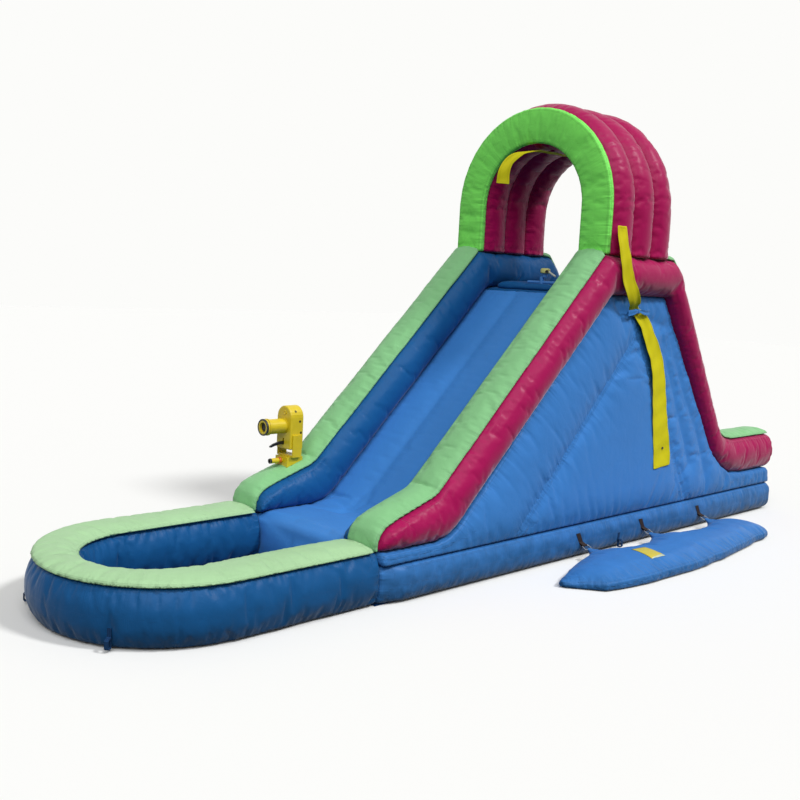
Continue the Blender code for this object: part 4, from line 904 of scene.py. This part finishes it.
def slide_materials():
    """Makes each finish once and returns them by name."""
    if bpy.data.materials.get("blue_coated_nylon") is None:
        tints = bpy.context.scene.slide_colours
        coated_nylon("blue_coated_nylon", tints.blue)
        # The deep blue is painted shade, and it gets more painted shade and grime near the ground
        coated_nylon("deep_blue_coated_nylon", tints.deep_blue, shade_grime_height=0.30, shade_grime_depth=0.80)
        # The side blue gets more painted shade, with some grime, near the ground
        coated_nylon("side_blue_coated_nylon", tints.blue, shade_grime_height=0.40, shade_grime_depth=1.20)
        coated_nylon("green_coated_nylon", tints.green)
        # The rim's paler green is painted light
        coated_nylon("lit_rim_green_coated_nylon", tints.lit_rim_green, 0.50)
        # The face's brighter green is painted light
        coated_nylon("brightened_face_green_coated_nylon", tints.brightened_face_green)
        coated_nylon("magenta_coated_nylon", tints.magenta, 0.45, 0.14, 0.40)
        coated_nylon("yellow_sleeve_nylon", tints.yellow, 0.60, 0.0, 0.0)
        coated_nylon("underside_vinyl_sheet", tints.underside, 0.60, 0.0, 0.0)
        woven_webbing("woven_polyester_webbing", tints.webbing)
        woven_webbing("woven_blue_webbing", tints.anchors)
        moulded_abs("yellow_moulded_abs", tints.plastic, 0.36)
        moulded_abs("orange_moulded_abs", hex_linear("C8641A"), 0.40)
        moulded_abs("black_moulded_abs", hex_linear("17181A"), 0.40)
        moulded_abs("pale_moulded_abs", hex_linear("C9CBC0"), 0.40)
        moulded_abs("pale_yellow_moulded_abs", hex_linear("C8C878"), 0.40)
        moulded_abs("blue_moulded_abs", tints.blue, 0.45)
        zinc_steel("zinc_plated_steel", hex_linear("A9ADB0"))
        blank_label("blank_vinyl_label")
    return bpy.data.materials


class SLIDE_OT_rails(bpy.types.Operator):
    """Blows up the rolls and bands of both rails, the arch's face and the tunnel's lobes"""

    bl_idname = "slide.rails"
    bl_label = "Rails, arch and tunnel"

    def execute(self, context):
        inflate("outer_bolster_right", ROLL, *MAGENTA, FULL)
        inflate("inner_bolster_right", ROLL, *SHADED_BLUE, FULL)
        inflate("front_cap_right", BAND, *GREEN)
        inflate("rear_cap_right", BAND, *GREEN)
        inflate("arch_face", FACE, "brightened_face_green_coated_nylon", "green_vinyl", FULL, FACE_FOLDS,
                FACE_DROP)
        for place in ("front", "middle", "rear"):
            inflate("arch_lobe_" + place, LOBE, *MAGENTA, FULL)
        return {"FINISHED"}


class SLIDE_OT_skins(bpy.types.Operator):
    """Blows up the lane, the deck, the climb, the landing, the side panels and base tubes"""

    bl_idname = "slide.skins"
    bl_label = "Lane, climb and sides"

    def execute(self, context):
        inflate("slide_lane", SKIN, *BLUE, FIRM, LANE_FOLDS, LANE_DROP)
        for node, cloth in (("deck", SHADED_BLUE), ("deck_mat", SHADED_BLUE), ("climb_wall", BLUE),
                            ("landing_pad", BLUE)):
            inflate(node, SKIN, *cloth)
        for number in "1234":
            inflate("climb_step_" + number, STEP, *GREEN)
        for node, puff, folds in (
            ("side_panel_right", PANEL, PANEL_FOLDS), ("base_tube_right", TUBE, ()),
        ):
            inflate(node, puff, "side_blue_coated_nylon", "blue_vinyl", FIRM, folds, PANEL_DROP)
        return {"FINISHED"}


class SLIDE_OT_pool(bpy.types.Operator):
    """Blows up the pool's wall and rim, and copies the flat sheets and webs as cloth"""

    bl_idname = "slide.pool"
    bl_label = "Pool, underside and webs"

    def execute(self, context):
        inflate("pool_wall", WALL, *SHADED_BLUE, FULL)
        inflate("pool_rim", RIM, "lit_rim_green_coated_nylon", "green_vinyl")
        lay_sheet("pool_floor", *SHADED_BLUE, "laid")
        lay_sheet("ground_sheet", "underside_vinyl_sheet", "underside_vinyl", "laid")
        for place in ("front", "middle", "rear"):
            lay_sheet("inner_web_" + place, *BLUE, "stretched")
        return {"FINISHED"}


class SLIDE_OT_bag(bpy.types.Operator):
    """Fills the ballast bag beside the slide and puts its bare label on"""

    bl_idname = "slide.bag"
    bl_label = "Ballast bag"

    def execute(self, context):
        bag = soft_form("ballast_bag", BAG)
        dress(bag, "ballast_bag", *BLUE, SLACK)
        label = flat_grid("ballast_label", 12, 9)
        grid = coordinates(label.data)
        turn = np.array([[math.cos(LABEL_TURN), math.sin(LABEL_TURN)],
                         [-math.sin(LABEL_TURN), math.cos(LABEL_TURN)]])
        grid[:, :2] = (grid[:, :2] * LABEL_SIZE) @ turn + LABEL_PLACE
        grid[:, 2] = LABEL_DROP
        put_coordinates(label.data, grid)
        apply_step(label, "wrap", "SHRINKWRAP", target=bag, wrap_method="PROJECT",
                   use_project_z=True, use_negative_direction=True, use_positive_direction=False,
                   offset=LABEL_THICKNESS)
        apply_step(label, "thickness", "SOLIDIFY", thickness=LABEL_THICKNESS, offset=1)
        label.data.shade_smooth()
        fit(label, "ballast", "blank_vinyl_label", "pale_plastic")
        return {"FINISHED"}


class SLIDE_OT_sleeves(bpy.types.Operator):
    """Hangs the yellow hose sleeves and ties the outer one with its keeper"""

    bl_idname = "slide.sleeves"
    bl_label = "Hose sleeves"

    def execute(self, context):
        for node, stations, across in (
            ("hose_sleeve_outer", OUTER_SLEEVE, ((0, (0, 1, 0)),)),
            ("hose_sleeve_inner", INNER_SLEEVE, ((0.60, (1, 0, 0)), (0.90, (0.70, 0.71, 0)))),
        ):
            sleeve, flat = ribbon(node + "_cloth", stations, across, SLEEVE_THICKNESS, SLEEVE_WAVE)
            dress(sleeve, node, "yellow_sleeve_nylon", "yellow_fabric")
        upward = ((0, (0, 0, 1)),)
        loop, flat = ribbon("sleeve_keeper_loop", KEEPER_LOOP, upward, KEEPER_THICKNESS, 0.0,
                            (4, 48))
        dress(loop, "sleeve_keeper", *BLUE)
        knot = ring("sleeve_keeper_knot", KNOT_PLACE, KNOT, UPRIGHT)
        fit(knot, "slide", *BLUE)
        for name, stations in (("left", LEFT_TAIL), ("right", RIGHT_TAIL)):
            tail, flat = ribbon("sleeve_keeper_tail_" + name, stations, upward,
                                KEEPER_THICKNESS, TAIL_WAVE, (6, 20))
            fit(tail, "slide", *BLUE)
        eyelet = button("sleeve_eyelet", EYELET, (1, 0, 0), EYE)
        fit(eyelet, "slide", *BLACK)
        return {"FINISHED"}


class SLIDE_OT_blower(bpy.types.Operator):
    """Sews the gathered tube that the blower blows into"""

    bl_idname = "slide.blower"
    bl_label = "Blower tube"

    def execute(self, context):
        low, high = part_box("blower_tube")
        middle = (low + high) / 2
        radius, length = (high.z - low.z) / 2, high.x - low.x
        tube = flat_grid("blower_tube_cloth", 72, 48)
        grid = coordinates(tube.data)
        turn, share = 2 * math.pi * grid[:, 0], grid[:, 1] + 0.5
        # Lengthwise creases are deepest at the gathered ends, and soft rings cross them
        crease = 0.05 * np.sin(9 * turn + 1.7 * np.sin(5 * share)) * (0.3 + np.abs(2 * share - 1))
        crease += 0.04 * np.sin(23 * share + np.sin(3 * turn))
        across = radius * (0.93 + np.clip(crease, -0.07, 0.06))
        points = np.stack([low.x + length * share, middle.y + across * np.cos(turn),
                           middle.z + across * np.sin(turn)], axis=1)
        put_coordinates(tube.data, points)
        show_only(tube)
        bpy.ops.object.mode_set(mode="EDIT")
        bpy.ops.mesh.select_all(action="SELECT")
        bpy.ops.mesh.remove_doubles(threshold=MERGE)
        bpy.ops.mesh.normals_make_consistent(inside=False)
        bpy.ops.object.mode_set(mode="OBJECT")
        apply_step(tube, "thickness", "SOLIDIFY", thickness=KEEPER_THICKNESS, offset=-1)
        tube.data.shade_smooth()
        dress(tube, "blower_tube", *BLUE)
        return {"FINISHED"}


class SLIDE_OT_fittings(bpy.types.Operator):
    """Finishes straps, anchors, handles and rings, and stands the sprinkler's head on its bar"""

    bl_idname = "slide.fittings"
    bl_label = "Webbing, rings and sprinkler"

    def execute(self, context):
        finish_nodes("woven_polyester_webbing", "ballast_strap_", "climb_handle_")
        finish_nodes("woven_blue_webbing", "anchor_")
        finish_nodes("zinc_plated_steel", "ballast_ring_")
        finish_nodes("blue_moulded_abs", "lane_sprinkler")
        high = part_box("lane_sprinkler")[1]
        middle = Vector((*HEAD_PLACE, high.z))
        neck = ring("sprinkler_neck", middle + Vector((0, 0, NECK_RISE)), NECK, UPRIGHT)
        fit(neck, "slide", "blue_moulded_abs", "pale_plastic")
        cap = cylinder("sprinkler_cap", middle + Vector((0, 0, CAP_RISE)), CAP, CAP_SIDES, UPRIGHT)
        open_faces(cap, Vector((0, 0, 1)))
        bpy.ops.mesh.inset(thickness=CAP.inset)
        bpy.ops.transform.translate(value=(0, 0, CAP.dome))
        bpy.ops.object.mode_set(mode="OBJECT")
        apply_step(cap, "edge", "BEVEL", width=CAP.edge, segments=4, limit_method="ANGLE")
        apply_angle(cap)
        fit(cap, "slide", "pale_yellow_moulded_abs", "pale_plastic")
        facing = Vector(HEAD_FACING)
        # The sprinkler's hole is a shallow black disc: its black is painted shade
        hole_place = middle + Vector((0, 0, HOLE_RISE)) + facing * CAP.radius
        hole = button("sprinkler_hole", hole_place, facing, HOLE)
        fit(hole, "slide", *BLACK)
        arm = ring("sprinkler_arm", middle + Vector(ARM_OFF), ARM, ARM_TURN)
        fit(arm, "slide", "pale_moulded_abs", "pale_plastic")
        return {"FINISHED"}


class SLIDE_OT_cannon(bpy.types.Operator):
    """Finishes the water cannon and adds its screws, its muzzle and its collars"""

    bl_idname = "slide.cannon"
    bl_label = "Water cannon"

    def execute(self, context):
        finish_nodes("yellow_moulded_abs", "cannon_")
        finish_nodes("black_moulded_abs", "cannon_inlet_mouth", "cannon_trigger")
        for side, shell in ((1, "cannon_shell_right"), (-1, "cannon_shell_left")):
            for number, (along, height) in enumerate(SCREW_PLACES):
                start = (CANNON_X + side * SCREW_DROP, along, height)
                place, facing = dropped(shell, start, (-side, 0, 0))
                screw = button(f"{shell}_screw_{number + 1}", place, facing, SCREW)
                fit(screw, "cannon_head", *BLACK)
        for name, place, size, plastic in (
            ("cannon_muzzle", MUZZLE_PLACE, MUZZLE, BLACK),
            ("cannon_barrel_band", BAND_PLACE, BARREL_BAND, YELLOW),
        ):
            fit(ring(name, place, size), "cannon_head", *plastic)
        nozzle = button("cannon_nozzle", NOZZLE_PLACE, (0, -1, 0), NOZZLE)
        fit(nozzle, "cannon_head", *BLACK)
        place, facing = dropped("cannon_shell_right", BOSS_START, (0, 1, 0))
        boss = button("cannon_boss", place, facing, BOSS)
        fit(boss, "cannon_head", *YELLOW)
        collar = ring("cannon_inlet_collar", COLLAR_PLACE, COLLAR)
        fit(collar, "slide", "orange_moulded_abs", "yellow_plastic")
        return {"FINISHED"}


def ray_mix(tree):
    """Returns a node that is 1 where the camera or a mirror or clear ray looks."""
    path = add_node(tree, "LightPath")
    seen = add_node(tree, "Math",
                    {0: (path, "Is Camera Ray"), 1: (path, "Is Glossy Ray")}, operation="MAXIMUM")
    return add_node(tree, "Math", {0: (seen, 0), 1: (path, "Is Transmission Ray")},
                    operation="MAXIMUM")


class SLIDE_OT_stage(bpy.types.Operator):
    """Sets the pale floor, the soft light, the background and the camera"""

    bl_idname = "slide.stage"
    bl_label = "Stage"

    def execute(self, context):
        settings = context.scene.slide_stage
        bpy.ops.mesh.primitive_grid_add(
            x_subdivisions=4, y_subdivisions=4, size=settings.floor_size,
            location=(0, 0, -FLOOR_DROP),
        )
        floor = added("stage_floor")
        material, tree, shader = new_material("pale_floor")
        ground, pale = (*settings.ground_colour, 1), (*settings.floor_colour, 1)
        tone = add_node(tree, "Mix", {0: (ray_mix(tree), 0), 6: ground, 7: pale}, data_type="RGBA")
        link_finish(tree, shader, tone)
        shader.inputs["Roughness"].default_value = 1.0
        shader.inputs["Specular IOR Level"].default_value = 0.0
        floor.data.materials.append(material)

        world = bpy.data.worlds.new("even_sky")
        context.scene.world = world
        world.use_nodes = True
        tree = world.node_tree
        tree.nodes.clear()
        sky = add_node(tree, "Background",
                       {"Color": (1, 1, 1, 1), "Strength": settings.sky})
        back = add_node(tree, "Background",
                        {"Color": (*settings.back_colour, 1), "Strength": 1.0})
        mix = add_node(tree, "MixShader", {0: (ray_mix(tree), 0), 1: (sky, 0),
                                                     2: (back, 0)})
        add_node(tree, "OutputWorld", {0: (mix, 0)})

        for name, turn, energy, spread in (
            ("back_sun", BACK_TURN, settings.sun, settings.sun_spread),
            ("front_fill", FILL_TURN, settings.fill, settings.fill_spread),
        ):
            bpy.ops.object.light_add(type="SUN", rotation=[math.radians(part) for part in turn])
            lamp = context.object
            lamp.name = name
            lamp.data.energy = energy
            lamp.data.angle = spread

        turn, dip, roll = CAMERA_AZIMUTH, CAMERA_DIP, CAMERA_ROLL
        forward = Vector((-math.sin(turn) * math.cos(dip), math.cos(turn) * math.cos(dip),
                          -math.sin(dip)))
        right = Vector((math.cos(turn), math.sin(turn), 0))
        up = right.cross(forward)
        across = right * math.cos(roll) + up * math.sin(roll)
        upward = up * math.cos(roll) - right * math.sin(roll)
        bpy.ops.object.camera_add()
        camera = context.object
        camera.name = "photo_camera"
        rows = Matrix((across, upward, -forward)).transposed().to_4x4()
        camera.matrix_world = Matrix.Translation(CAMERA_PLACE) @ rows
        camera.data.sensor_width = SENSOR
        camera.data.lens = SENSOR * FOCAL_PIXELS / PHOTO_PIXELS
        context.scene.camera = camera
        context.scene.view_settings.view_transform = "Standard"
        return {"FINISHED"}


class SLIDE_PT_panel(bpy.types.Panel):
    """Lists the steps that dress the slide."""

    bl_idname = "SLIDE_PT_panel"
    bl_label = "Water slide"
    bl_space_type = "VIEW_3D"
    bl_region_type = "UI"
    bl_category = "Water slide"

    def draw(self, context):
        layout = self.layout
        for group, kind in SETTINGS.items():
            for name in kind.__annotations__:
                layout.prop(getattr(context.scene, group), name)
        for step in OPERATORS:
            layout.operator(step.bl_idname)


OPERATORS = (
    SLIDE_OT_rails, SLIDE_OT_skins, SLIDE_OT_pool, SLIDE_OT_bag, SLIDE_OT_sleeves,
    SLIDE_OT_blower, SLIDE_OT_fittings, SLIDE_OT_cannon, SLIDE_OT_stage,
)
SETTINGS = {
    "slide_colours": SlideColours, "slide_cloth": SlideCloth, "slide_stage": SlideStage,
}
CLASSES = (*SETTINGS.values(), *OPERATORS, SLIDE_PT_panel)


def register():
    """Registers the classes and their settings."""
    for item in CLASSES:
        bpy.utils.register_class(item)
    for group, kind in SETTINGS.items():
        setattr(bpy.types.Scene, group, bpy.props.PointerProperty(type=kind))


def unregister():
    """Removes the classes and their settings."""
    for group in SETTINGS:
        delattr(bpy.types.Scene, group)
    for item in reversed(CLASSES):
        bpy.utils.unregister_class(item)


def main():
    """Dresses the slide."""
    register()
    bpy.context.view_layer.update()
    for step in OPERATORS:
        getattr(bpy.ops.slide, step.bl_idname.split(".")[1])()


if __name__ == "__main__":
    main()
